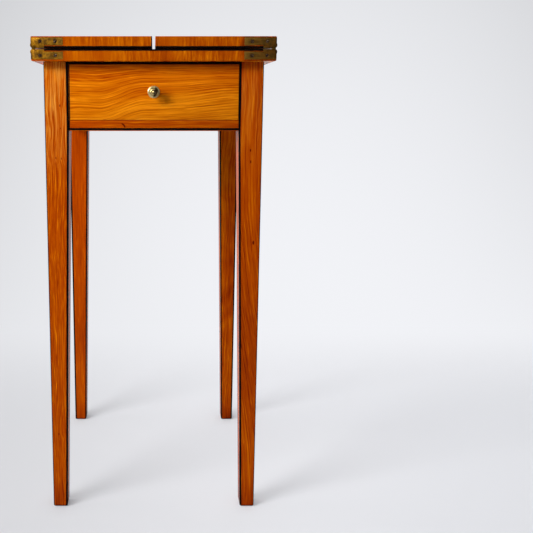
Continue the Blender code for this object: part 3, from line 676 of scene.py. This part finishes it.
def slot_grime_and_shade():
    """Old dirt and painted shade in the slots and round the rims of the screws."""
    recipe = new_finish("slot_grime_and_shade")
    crust = recipe.noise(recipe.place(), SLOT_CELLS, 3.0)
    colour = recipe.mix(crust, SLOT_DARK, SCREW_DARK)
    return recipe.shade(Base_Color=colour, Roughness=0.85 + crust * 0.1, Specular_IOR_Level=0.1)


def bright_brass():
    """Knob's brass, bright on the left, with painted shade over its right side and dirt in the grooves."""
    recipe = new_finish("bright_brass")
    place = recipe.place()
    x, _, z = place
    cloud = recipe.noise(place, KNOB_CELLS, 3.0)
    dirt = 1 - recipe.between(recipe.pointiness(), 0.42, 0.50)
    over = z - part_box("knob")[0].z - KNOB_RADIUS
    off_centre = (x * x + over * over) ** 0.5
    # painted shade over the right side, thinner towards the rim
    right_shade = recipe.between(x - over * KNOB_SHADE_LEAN + (cloud - 0.5) * KNOB_SHADE_FRAY, *KNOB_SHADE_EDGE)
    right_shade = right_shade * (1 - 0.55 * recipe.between(off_centre, *KNOB_SHADE_THINS))
    colour = recipe.mix(recipe.between(cloud, 0.35, 0.7), KNOB_DULL, KNOB_BRIGHT)
    colour = recipe.mix(right_shade * 0.96, colour, KNOB_PAINTED_SHADE)
    colour = recipe.mix(dirt * 0.9, colour, KNOB_DIRT)
    rough = 0.24 + cloud * 0.12 + dirt * 0.3 + right_shade * 0.06
    normal = recipe.bump(cloud, KNOB_RELIEF, 0.3)
    return recipe.shade(Base_Color=colour, Roughness=rough, Metallic=1.0, Normal=normal)


# Shapes

def block(low, high):
    shape = bmesh.new()
    low, high = Vector(low), Vector(high)
    place = Matrix.Translation((low + high) / 2) @ Matrix.Diagonal((*(high - low), 1))
    bmesh.ops.create_cube(shape, size=1, matrix=place)
    return shape


def eased(shape, edges, width):
    """Rounds edges of a shape."""
    bmesh.ops.bevel(shape, geom=edges, offset=width, segments=EASE_STEPS, profile=0.5, affect="EDGES")
    return shape


def board(low, high):
    shape = block(low, high)
    return eased(shape, shape.edges[:], ARRIS)


def split(shape, point, normal):
    """Adds edges where a plane crosses the shape."""
    everything = shape.verts[:] + shape.edges[:] + shape.faces[:]
    bmesh.ops.bisect_plane(shape, geom=everything, plane_co=point, plane_no=normal, dist=NEAR)


def paint(shape, number, test):
    """Gives the finish of that number to the faces whose middle and normal pass the test."""
    shape.normal_update()
    for face in shape.faces:
        if test(face.calc_center_median(), face.normal):
            face.material_index = number


def arc(centre, radius, start, stop, steps=ARC_STEPS):
    points = []
    for step in range(steps + 1):
        angle = math.radians(start + (stop - start) * step / steps)
        points.append((centre[0] + radius * math.cos(angle), centre[1] + radius * math.sin(angle)))
    return points


def flat_faces(outlines):
    """Faces in the XZ plane on outlines that share corners."""
    shape = bmesh.new()
    corners = {}
    faces = []
    for outline in outlines:
        for point in outline:
            if point not in corners:
                corners[point] = shape.verts.new((point[0], 0, point[1]))
        faces.append(shape.faces.new([corners[point] for point in outline]))
    return shape, faces


def extruded(shape, faces, offset):
    """Extrudes joined faces along Y and returns the faces at the far end."""
    edges = list(dict.fromkeys(edge for face in faces for edge in face.edges))
    made = bmesh.ops.extrude_face_region(shape, geom=faces + edges)["geom"]
    carried = [item for item in made if isinstance(item, bmesh.types.BMVert)]
    bmesh.ops.translate(shape, verts=carried, vec=(0, offset, 0))
    return [item for item in made if isinstance(item, bmesh.types.BMFace)]


def turned(profile, centre):
    """Profile of (distance along Y, radius) points spun about the line along Y through centre (x, z)."""
    shape = bmesh.new()
    hub = Vector((centre[0], 0, centre[1]))
    points = [(profile[0][0], 0), *profile, (profile[-1][0], 0)]
    verts = [shape.verts.new(hub + Vector((radius, along, 0))) for along, radius in points]
    edges = [shape.edges.new(pair) for pair in zip(verts, verts[1:])]
    turn = {"cent": hub, "axis": (0, 1, 0), "angle": math.tau, "steps": ROUND_SIDES, "use_merge": True}
    bmesh.ops.spin(shape, geom=verts + edges, **turn)
    bmesh.ops.remove_doubles(shape, verts=shape.verts, dist=NEAR)
    return shape


def rod(centre, radius, start, stop):
    return turned([(start, radius), (stop, radius)], centre)


def moved(shape, place):
    shape.transform(place)
    return shape


def mesh_of(name, shape):
    shape.normal_update()
    bmesh.ops.recalc_face_normals(shape, faces=shape.faces)
    mesh = bpy.data.meshes.new(name)
    shape.to_mesh(mesh)
    shape.free()
    return mesh


def together(shapes):
    whole = bmesh.new()
    for shape in shapes:
        mesh = mesh_of("shape", shape)
        whole.from_mesh(mesh)
        bpy.data.meshes.remove(mesh)
    return whole


def placed(name, shape):
    thing = bpy.data.objects.new(name, mesh_of(name, shape))
    bpy.context.scene.collection.objects.link(thing)
    return thing


def cut(piece, shapes):
    """Takes shapes out of a piece for good."""
    tools = [placed("tool", shape) for shape in shapes]
    for tool in tools:
        boolean = piece.modifiers.new("cut", "BOOLEAN")
        boolean.operation = "DIFFERENCE"
        boolean.solver = "EXACT"
        boolean.object = tool
    whole = piece.data
    graph = bpy.context.evaluated_depsgraph_get()
    piece_cut = bpy.data.meshes.new_from_object(piece.evaluated_get(graph))
    piece.modifiers.clear()
    piece.data = piece_cut
    bpy.data.meshes.remove(whole)
    for tool in tools:
        bpy.data.meshes.remove(tool.data)


def dress(node, shape, body, finishes, cuts=()):
    """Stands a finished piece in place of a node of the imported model."""
    piece = placed(f"{node}_finished", shape)
    for finish in finishes:
        piece.data.materials.append(finish)
    if cuts:
        cut(piece, cuts)
    piece.data.shade_smooth()
    piece.data.set_sharp_from_angle(angle=SMOOTH_ANGLE)
    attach(piece, body)
    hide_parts(node)
    return piece


def refinish(node, finish):
    """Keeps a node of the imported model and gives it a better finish."""
    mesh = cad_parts[node].data
    mesh.materials.clear()
    mesh.materials.append(finish)


# Legs and frame

def leg_ring(size, height, inset=0.0):
    """Section of a leg, measured in from its outer faces, with a rounded and strung arris at each corner."""
    near, far = inset, size - inset
    corners = [Vector(corner) for corner in ((near, near), (far, near), (far, far), (near, far))]
    ring = []
    for number, corner in enumerate(corners):
        before = (corners[number - 1] - corner).normalized()
        after = (corners[(number + 1) % len(corners)] - corner).normalized()
        ring.append(corner + before * LEG_STRING[number])
        for step in range(ARRIS_STEPS + 1):
            lean = math.pi / 2 * step / ARRIS_STEPS
            pull = (1 - math.sin(lean)) * before + (1 - math.cos(lean)) * after
            ring.append(corner + ARRIS * pull)
        ring.append(corner + after * LEG_STRING[number])
    return [(point.x, point.y, height) for point in ring]


def leg_shape(top, knee, high):
    """Leg that tapers on its two inner faces below the frame. Its arrises take the second finish."""
    rings = []
    for step in range(FOOT_STEPS + 1):
        angle = math.pi / 2 * step / FOOT_STEPS
        height, inset = FOOT_EASE * (1 - math.cos(angle)), FOOT_EASE * (1 - math.sin(angle))
        rings.append(leg_ring(LEG_FOOT, height, inset))
    rings += [leg_ring(top, knee), leg_ring(top, high)]
    shape = bmesh.new()
    rows = [[shape.verts.new(point) for point in ring] for ring in rings]
    count = len(rows[0])
    per_corner = count // len(LEG_STRING)
    for lower, upper in zip(rows, rows[1:]):
        for number in range(count):
            after = (number + 1) % count
            face = shape.faces.new((lower[number], lower[after], upper[after], upper[number]))
            face.material_index = int(number % per_corner != per_corner - 1)
    shape.faces.new(rows[0])
    shape.faces.new(rows[-1])
    return shape


def add_legs(woods, black):
    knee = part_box("apron_left")[0].z
    for end_name, end in ENDS.items():
        for side_name, side in SIDES.items():
            node = f"leg_{end_name}_{side_name}"
            low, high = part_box(node)
            shape = leg_shape(high.x - low.x, knee, high.z)
            corner = (high.x if side > 0 else low.x, high.y if end > 0 else low.y, 0)
            place = Matrix.Translation(corner) @ Matrix.Diagonal((-side, -end, 1, 1))
            dress(node, moved(shape, place), "frame", [woods[node], black])


def strung_board(low, high, face):
    """Board with an ebonised line above the lower edge of the face that looks that way."""
    shape = board(low, high)
    line_low, line_high = low.z + RAIL_STRING_LOW, low.z + RAIL_STRING_HIGH
    split(shape, (0, 0, line_low), (0, 0, 1))
    split(shape, (0, 0, line_high), (0, 0, 1))
    paint(shape, 1, lambda middle, normal: line_low < middle.z < line_high and normal.dot(face) > FACING)
    return shape


def between_legs(node, end_name):
    """Box of a board along X, as far as it shows between two legs."""
    low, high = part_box(node)
    low.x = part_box(f"leg_{end_name}_left")[1].x + SEAT_GAP
    high.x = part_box(f"leg_{end_name}_right")[0].x - SEAT_GAP
    return low, high


def add_aprons(woods, black):
    for name, side in SIDES.items():
        node = f"apron_{name}"
        low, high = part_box(node)
        low.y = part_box("leg_front_left")[1].y + SEAT_GAP
        high.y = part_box("leg_back_left")[0].y - SEAT_GAP
        shape = strung_board(low, high, Vector((side, 0, 0)))
        dress(node, shape, "frame", [woods[node], black])
    shape = board(*between_legs("apron_back", "back"))
    dress("apron_back", shape, "frame", [woods["apron_back"]])


def add_front_rail(wood, black):
    low, high = between_legs("front_rail", "front")
    shape = strung_board(low, high, Vector((0, -1, 0)))
    # painted shade in ebonised black at the rail's left end, for the gap by the leg
    end = low.x + LEFT_GAP_SHADE
    split(shape, (end, 0, 0), (1, 0, 0))
    paint(shape, 1, lambda middle, normal: middle.x < end and normal.y < -FACING)
    dress("front_rail", shape, "frame", [wood, black])


def add_fillet(black):
    dress("frieze_fillet", board(*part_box("frieze_fillet")), "frame", [black])


def add_carriers(lining):
    for name in SIDES:
        refinish(f"drawer_runner_{name}", lining)
        refinish(f"drawer_kicker_{name}", lining)
    refinish("drawer_stop", lining)


# Drawer

def carried_over(node):
    """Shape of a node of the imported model, with the faces of each flat side joined."""
    shape = bmesh.new()
    shape.from_mesh(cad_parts[node].data)
    bmesh.ops.remove_doubles(shape, verts=shape.verts, dist=NEAR)
    flat = {"angle_limit": FLAT_ANGLE, "use_dissolve_boundaries": False}
    bmesh.ops.dissolve_limit(shape, verts=shape.verts, edges=shape.edges, **flat)
    return shape


def sharp_edges(shape, test):
    """Edges at corners whose two ends pass the test."""
    shape.normal_update()
    edges = [edge for edge in shape.edges if edge.calc_face_angle(0) > CORNER_ANGLE]
    return [edge for edge in edges if all(test(vert.co) for vert in edge.verts)]


def add_drawer_front(wood, black):
    """Dovetailed front eased round its face, black painted shade at its left end and top, sharp hole for the
    knob.
    """
    front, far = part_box("drawer_front")
    shape = carried_over("drawer_front")
    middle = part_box("knob")[0].z + KNOB_RADIUS
    on_face = sharp_edges(shape, lambda place: place.y < front.y + NEAR)
    outer = [edge for edge in on_face if abs(edge.verts[0].co.z - middle) > KNOB_RADIUS]
    eased(shape, outer, ARRIS)
    # painted shade in ebonised black along the left end and upper edge, for the gaps there
    end, upper = front.x + LEFT_GAP_SHADE, far.z - TOP_GAP_SHADE
    split(shape, (end, 0, 0), (1, 0, 0))
    split(shape, (0, 0, upper), (0, 0, 1))
    paint(shape, 1, lambda middle, normal: (middle.x < end or middle.z > upper) and normal.y < -FACING)
    dress("drawer_front", shape, "drawer", [wood, black])


def knob_profile():
    """Post, rose, neck, and a head turned with an outer ring, an inner ring and a button."""
    face = KNOB_PROJECTION - BUTTON_RISE
    rose_round = ROSE_THICK - ROSE_LIP
    out = [(0, POST_RADIUS), (0, ROSE_RADIUS), (ROSE_LIP, ROSE_RADIUS)]
    out += arc((ROSE_LIP, ROSE_RADIUS - rose_round), rose_round, 90, 0, ROSE_STEPS)
    out += [NECK_FOOT, (NECK_START, NECK_RADIUS)]
    out += [(face - KNOB_HEAD, NECK_RADIUS), (face - HEAD_BACK[0], HEAD_BACK[1])]
    out += arc((face - RIM_ROUND, KNOB_RADIUS - RIM_ROUND), RIM_ROUND, *RIM_ARC, RIM_STEPS)
    out += arc((face - RING_ROUND, RING_RADIUS), RING_ROUND, *RING_ARC)
    rise = BUTTON_RISE + GROOVE_DEPTH
    for step in range(BUTTON_STEPS):
        angle = math.pi / 2 * step / BUTTON_STEPS
        out.append((face - GROOVE_DEPTH + rise * math.sin(angle), BUTTON_RADIUS * math.cos(angle)))
    post_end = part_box("knob")[1].y
    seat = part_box("drawer_front")[0].y - SEAT_GAP
    return [(post_end, POST_RADIUS)] + [(seat - along, radius) for along, radius in out]


def add_knob(bright):
    shape = turned(knob_profile(), (0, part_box("knob")[0].z + KNOB_RADIUS))
    dress("knob", shape, "drawer", [bright])


def add_drawer_box(lining, brass):
    for node in ("drawer_side_left", "drawer_side_right", "drawer_back", "drawer_bottom"):
        refinish(node, lining)
    refinish("knob_nut", brass)


# Link hinges, each in its own x from the hinge edge, y from the front or back edge and z from the show face

def hinge_place(side, end, leaf):
    """Carries a hinge half's own places to its corner of the fixed top, or of a folded flap."""
    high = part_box("fixed_top")[1]
    height, away = (high.z, -1) if leaf == "top" else (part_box("flap_left")[0].z, 1)
    corner = Matrix.Translation((side * high.x, end * high.y, height))
    return corner @ Matrix.Diagonal((-side, -end, away, 1))


def plate_shape():
    """Side plate with a boss that fills the corner of the leaf and ends in a round knuckle about the pin."""
    spread = math.degrees(math.acos(PIN_INSET / KNUCKLE_RADIUS))
    knuckle = arc((PIN_INSET, PIN_INSET), KNUCKLE_RADIUS, spread - 90, -180 - spread, KNUCKLE_STEPS)
    boss = [
        (BOSS_LENGTH, BOSS_HEIGHT), (BOSS_LENGTH, PLATE_INSET), (BOSS_LENGTH, 0), *knuckle, (0, BOSS_HEIGHT),
    ]
    corner = arc((PLATE_CORNER, PLATE_END - PLATE_CORNER), PLATE_CORNER, 180, 90, CORNER_STEPS)
    below = [(0, BOSS_HEIGHT), *corner, (BOSS_LENGTH, PLATE_END), (BOSS_LENGTH, BOSS_HEIGHT)]
    tail = [
        (BOSS_LENGTH, PLATE_INSET), (BOSS_LENGTH, BOSS_HEIGHT), (BOSS_LENGTH, PLATE_END),
        (PLATE_LENGTH, PLATE_END), (PLATE_LENGTH, PLATE_INSET),
    ]
    shape, faces = flat_faces([boss, below, tail])
    inner = extruded(shape, faces, PLATE_THICK)
    boss_end = min(inner, key=lambda face: face.calc_center_median().z)
    extruded(shape, [boss_end], BOSS_DEPTH - PLATE_THICK)
    outer = [face for face in shape.faces if all(abs(vert.co.y) < NEAR for vert in face.verts)]
    bmesh.ops.dissolve_faces(shape, faces=outer)
    rim = [edge for edge in shape.edges if all(abs(vert.co.y) < NEAR for vert in edge.verts)]
    return eased(shape, rim, BRASS_EDGE)


def plate_cuts():
    """Slot for the link, blind hole for the pin, and countersunk screw holes."""
    middle = BOSS_DEPTH / 2
    slot = block((-PAST, middle - LINK_SLOT / 2, -PAST), (LINK_ROOM, middle + LINK_SLOT / 2, LINK_ROOM))
    pin_hole = rod((PIN_INSET, PIN_INSET), PIN_HOLE, PIN_COVER, BOSS_DEPTH + PAST)
    head, shank = SCREW_HEAD + SEAT_GAP, SCREW_SHANK + SEAT_GAP
    sink = [(-PAST, head), (0, head), (SCREW_SINK, shank), (BOSS_DEPTH + PAST, shank)]
    screw_holes = together(turned(sink, (place, SCREW_DROP)) for place in SCREW_PLACES)
    return [slot, pin_hole, screw_holes]


def screw_shape():
    """Countersunk wood screw with a slightly domed head, along Y from the middle of its rim."""
    dome = [(-SCREW_DOME * math.sin(angle), SCREW_HEAD * math.cos(angle)) for angle in DOME_ANGLES]
    taper = [(0, SCREW_HEAD), (SCREW_SINK, SCREW_SHANK), (SCREW_TAPER, SCREW_SHANK)]
    return turned([*dome, *taper, (SCREW_LENGTH, SCREW_TIP)], (0, 0))


def screw_slot():
    half = SCREW_HEAD + PAST
    return block((-half, -PAST, -SCREW_SLOT / 2), (half, SCREW_SLOT_DEPTH, SCREW_SLOT / 2))


def darken_slot_and_rim(screw, to_slot):
    """Gives the second finish, dirt and painted shade, to a screw's slot and to the rim of its head."""
    for polygon in screw.data.polygons:
        middle = to_slot @ polygon.center
        in_slot = abs(middle.z) < SCREW_SLOT / 2 + NEAR and NEAR < middle.y < SCREW_SLOT_DEPTH + NEAR
        on_rim = middle.y < SCREW_SINK and math.hypot(middle.x, middle.z) > DARK_HEAD_RIM
        if in_slot or on_rim:
            polygon.material_index = 1


def add_hinge_half(corner, side, end, leaf, body, brass, screws):
    place = hinge_place(side, end, leaf)
    cuts = [moved(shape, place) for shape in plate_cuts()]
    dress(f"hinge_plate_{corner}_{leaf}", moved(plate_shape(), place), body, [brass], cuts)
    refinish(f"hinge_pin_{corner}_{leaf}", brass)
    for number, along in enumerate(SCREW_PLACES, 1):
        angle = SLOT_ANGLES[(number + 2 * (leaf == "flap") + (side * end > 0)) % len(SLOT_ANGLES)]
        screw_place = place @ Matrix.Translation((along, 0, SCREW_DROP))
        slot_place = screw_place @ Matrix.Rotation(math.radians(angle), 4, "Y")
        shape = moved(screw_shape(), screw_place)
        slot = moved(screw_slot(), slot_place)
        screw = dress(f"hinge_screw_{corner}_{leaf}_{number}", shape, body, screws, [slot])
        darken_slot_and_rim(screw, slot_place.inverted())


def add_hinges(brasses):
    screws = [screw_brass(), slot_grime_and_shade()]
    for side_name, side in SIDES.items():
        brass = brasses[side_name]
        for end_name, end in ENDS.items():
            corner = f"{end_name}_{side_name}"
            add_hinge_half(corner, side, end, "top", "frame", brass, screws)
            add_hinge_half(corner, side, end, "flap", f"{side_name}_flap", brass, screws)
            refinish(f"hinge_link_{corner}", brass)


# Folding top, whose leaves have end grain as their second finish and, as their third, stringing and painted
# shade

def leaf_cuts(places):
    """Pockets for plates and bosses and pilot holes for screws, at each hinge of one leaf."""
    plates, bosses, pilots = [], [], []
    for place in places:
        high = (PLATE_LENGTH + SEAT_GAP, PLATE_THICK + SEAT_GAP, PLATE_END + SEAT_GAP)
        plates.append(moved(block((-PAST, -PAST, PLATE_INSET - SEAT_GAP), high), place))
        high = (BOSS_LENGTH + SEAT_GAP, BOSS_DEPTH + SEAT_GAP, BOSS_HEIGHT + SEAT_GAP)
        bosses.append(moved(block((-PAST, -PAST, -PAST), high), place))
        for along in SCREW_PLACES:
            hole = rod((along, SCREW_DROP), SCREW_SHANK + SEAT_GAP, -PAST, SCREW_LENGTH + SEAT_GAP)
            pilots.append(moved(hole, place))
    return [together(plates), together(bosses), together(pilots)]


def leaf_shape(outline, edge):
    """Board along Y with eased ends, cut along the bounds of its stringing."""
    shape, faces = flat_faces([outline])
    extruded(shape, faces, 2 * edge)
    moved(shape, Matrix.Translation((0, -edge, 0)))
    ends = [line for line in shape.edges if abs(line.verts[0].co.y - line.verts[1].co.y) < NEAR]
    eased(shape, ends, ARRIS)
    for end in ENDS.values():
        split(shape, (0, end * (edge - LEAF_STRING), 0), (0, 1, 0))
    return shape


def add_fixed_top(wood, ends, black):
    low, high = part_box("fixed_top")
    under = (high.x - EDGE_ROUND, low.z + EDGE_ROUND)
    over = (high.x - KNUCKLE_ROUND, high.z - KNUCKLE_ROUND)
    right = arc(under, EDGE_ROUND, -90, 0, EDGE_STEPS) + arc(over, KNUCKLE_ROUND, 0, 90)
    shape = leaf_shape(right + [(-x, z) for x, z in reversed(right)], high.y)
    string_z, string_y = high.z - LEAF_STRING, high.y - LEAF_STRING
    split(shape, (0, 0, string_z), (0, 0, 1))
    paint(shape, 1, lambda middle, normal: abs(normal.y) > FACING)
    paint(shape, 2, lambda middle, normal: abs(middle.y) > string_y and middle.z > string_z)
    # painted shade of the joint's gap, in black on the rounded show arris along the hinge edge
    paint(shape, 2, lambda middle, normal: middle.z > over[1] and abs(normal.x) > JOINT_SHADE_ROUND)
    places = [hinge_place(side, end, "top") for side in SIDES.values() for end in ENDS.values()]
    dress("fixed_top", shape, "frame", [wood, ends, black], leaf_cuts(places))


def add_flap(name, side, wood, ends, black):
    low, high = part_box(f"flap_{name}")
    free = min(abs(low.x), abs(high.x))
    far = max(abs(low.x), abs(high.x))
    under = (far - KNUCKLE_ROUND, low.z + KNUCKLE_ROUND)
    over = (far - EDGE_ROUND, high.z - EDGE_ROUND)
    edge = arc(under, KNUCKLE_ROUND, -90, 0) + arc(over, EDGE_ROUND, 0, 90, EDGE_STEPS)
    shape = leaf_shape([(free, low.z), *edge, (free, high.z)], high.y)
    eased(shape, sharp_edges(shape, lambda place: place.x < free + NEAR), ARRIS)
    string_z, string_y, string_x = low.z + LEAF_STRING, high.y - LEAF_STRING, free + LEAF_STRING
    end_x = free + FLAP_END_STRING[name]
    split(shape, (0, 0, string_z), (0, 0, 1))
    split(shape, (string_x, 0, 0), (1, 0, 0))
    split(shape, (end_x, 0, 0), (1, 0, 0))
    paint(shape, 1, lambda middle, normal: abs(normal.y) > FACING)
    paint(shape, 2, lambda middle, normal: abs(middle.y) > string_y and middle.z < string_z)
    paint(shape, 2, lambda middle, normal: middle.x < string_x and middle.z < string_z)
    paint(shape, 2, lambda middle, normal: middle.x < end_x and abs(normal.y) > FACING)
    # painted shade of the joint's gap, in black on the rounded show arris along the hinge edge
    paint(shape, 2, lambda middle, normal: middle.z < under[1] and abs(normal.x) > JOINT_SHADE_ROUND)
    moved(shape, Matrix.Diagonal((side, 1, 1, 1)))
    places = [hinge_place(side, end, "flap") for end in ENDS.values()]
    dress(f"flap_{name}", shape, f"{name}_flap", [wood, ends, black], leaf_cuts(places))


# Stage

def pale_backdrop():
    """Pale floor under a painted glow, which shows where the floor is looked at but lights nothing."""
    recipe = new_finish("pale_backdrop")
    x, y, z = recipe.place()
    floor = recipe.mix(recipe.between(x, *FLOOR_CHANGE), FLOOR_LEFT, FLOOR_RIGHT)
    recipe.shade(Base_Color=floor, Roughness=0.9, Specular_IOR_Level=0.0)
    aside, behind, over = x - GLOW_PLACE[0], (y - GLOW_PLACE[1]) * GLOW_DEPTH, z - GLOW_PLACE[2]
    off_centre = recipe.clamped((aside * aside + behind * behind + over * over) / GLOW_SPREAD)
    glow = recipe.mix(off_centre, GLOW_MIDDLE, GLOW_EDGE)
    painted = recipe.add("ShaderNodeEmission", {}, {"Color": glow})
    plain = Signal(recipe, recipe.shader.outputs[0])
    clear = recipe.add("ShaderNodeAmbientOcclusion", {}, {"Distance": FOOT_SHADOW}, "AO")
    share = (GLOW_SHARE + (1 - GLOW_SHARE) * recipe.between(y, *GLOW_GROWS)) * clear
    both = recipe.add("ShaderNodeMixShader", {}, {0: recipe.looked_at() * share, 1: plain, 2: painted})
    recipe.feed(recipe.tree.nodes["Material Output"].inputs["Surface"], both)
    return recipe.owner


def add_backdrop():
    """Floor that sweeps up into a wall behind the table and behind the camera."""
    near = [(y - NEAR_WALL_Y, SWEEP + z) for y, z in arc((0, 0), SWEEP, 180, 270, SWEEP_STEPS)]
    far = [(y + WALL_Y, SWEEP + z) for y, z in arc((0, 0), SWEEP, 270, 360, SWEEP_STEPS)]
    profile = [(near[0][0], WALL_HEIGHT), *near, *far, (far[-1][0], WALL_HEIGHT)]
    shape = bmesh.new()
    rows = [[shape.verts.new((x, y, z)) for y, z in profile] for x in (-HALF_WIDTH, HALF_WIDTH)]
    for number in range(len(profile) - 1):
        shape.faces.new((rows[0][number], rows[1][number], rows[1][number + 1], rows[0][number + 1]))
    sweep = placed("backdrop", shape)
    sweep.data.materials.append(pale_backdrop())
    sweep.data.shade_smooth()


def add_lamp(name, place, aim, size, power):
    lamp = bpy.data.lights.new(name, "AREA")
    lamp.shape = "ELLIPSE"
    lamp.size, lamp.size_y = size
    lamp.energy = power
    thing = bpy.data.objects.new(name, lamp)
    thing.location = place
    thing.rotation_euler = (Vector(aim) - Vector(place)).to_track_quat("-Z", "Y").to_euler()
    bpy.context.scene.collection.objects.link(thing)


def add_light():
    """Soft room light that comes mostly from the left, and two lamps on that side."""
    world = bpy.data.worlds.new("studio")
    recipe = Recipe(world, "Background")
    way = recipe.add("ShaderNodeTexCoord", {}, {}, "Generated")
    x = recipe.add("ShaderNodeSeparateXYZ", {}, {"Vector": way})
    level = ROOM_LEFT - (ROOM_LEFT - ROOM_RIGHT) * recipe.between(x, *ROOM_CHANGE)
    recipe.shade(Color=ROOM_TINT, Strength=level + recipe.looked_at() * (ROOM_SEEN - level))
    bpy.context.scene.world = world
    for name, values in LAMPS.items():
        add_lamp(name, **values)


def add_camera():
    lens = bpy.data.cameras.new("camera")
    lens.sensor_width = SENSOR_WIDTH
    lens.lens = FOCAL_LENGTH / IMAGE_SIZE * SENSOR_WIDTH
    lens.shift_x = 0.5 - PRINCIPAL_POINT[0] / IMAGE_SIZE
    lens.shift_y = PRINCIPAL_POINT[1] / IMAGE_SIZE - 0.5
    camera = bpy.data.objects.new("camera", lens)
    camera.location = CAMERA_PLACE
    camera.rotation_euler = (math.pi / 2 - CAMERA_PITCH, 0, 0)
    bpy.context.scene.collection.objects.link(camera)
    bpy.context.scene.camera = camera


def remove_start_objects():
    """Takes out what a new file holds."""
    for name in ("Cube", "Light", "Camera"):
        if name in bpy.data.objects:
            bpy.data.objects.remove(bpy.data.objects[name])


def main():
    bpy.context.scene.view_settings.view_transform = "Standard"
    remove_start_objects()
    woods = {node: cherry(node, **values) for node, values in BOARDS.items()}
    ends = cherry_ends()
    black = ebonised_wood()
    lining = bare_lining()
    brasses = {side: aged_brass(f"brass_{side}", *tints) for side, tints in SIDE_PATINA_AND_SHADE.items()}
    add_legs(woods, black)
    add_aprons(woods, black)
    add_front_rail(woods["front_rail"], black)
    add_fillet(black)
    add_carriers(lining)
    add_drawer_front(woods["drawer_front"], black)
    add_knob(bright_brass())
    add_drawer_box(lining, brasses["left"])
    add_fixed_top(woods["fixed_top"], ends, black)
    for name, side in SIDES.items():
        add_flap(name, side, woods[f"flap_{name}"], ends, black)
    add_hinges(brasses)
    add_backdrop()
    add_light()
    add_camera()


main()
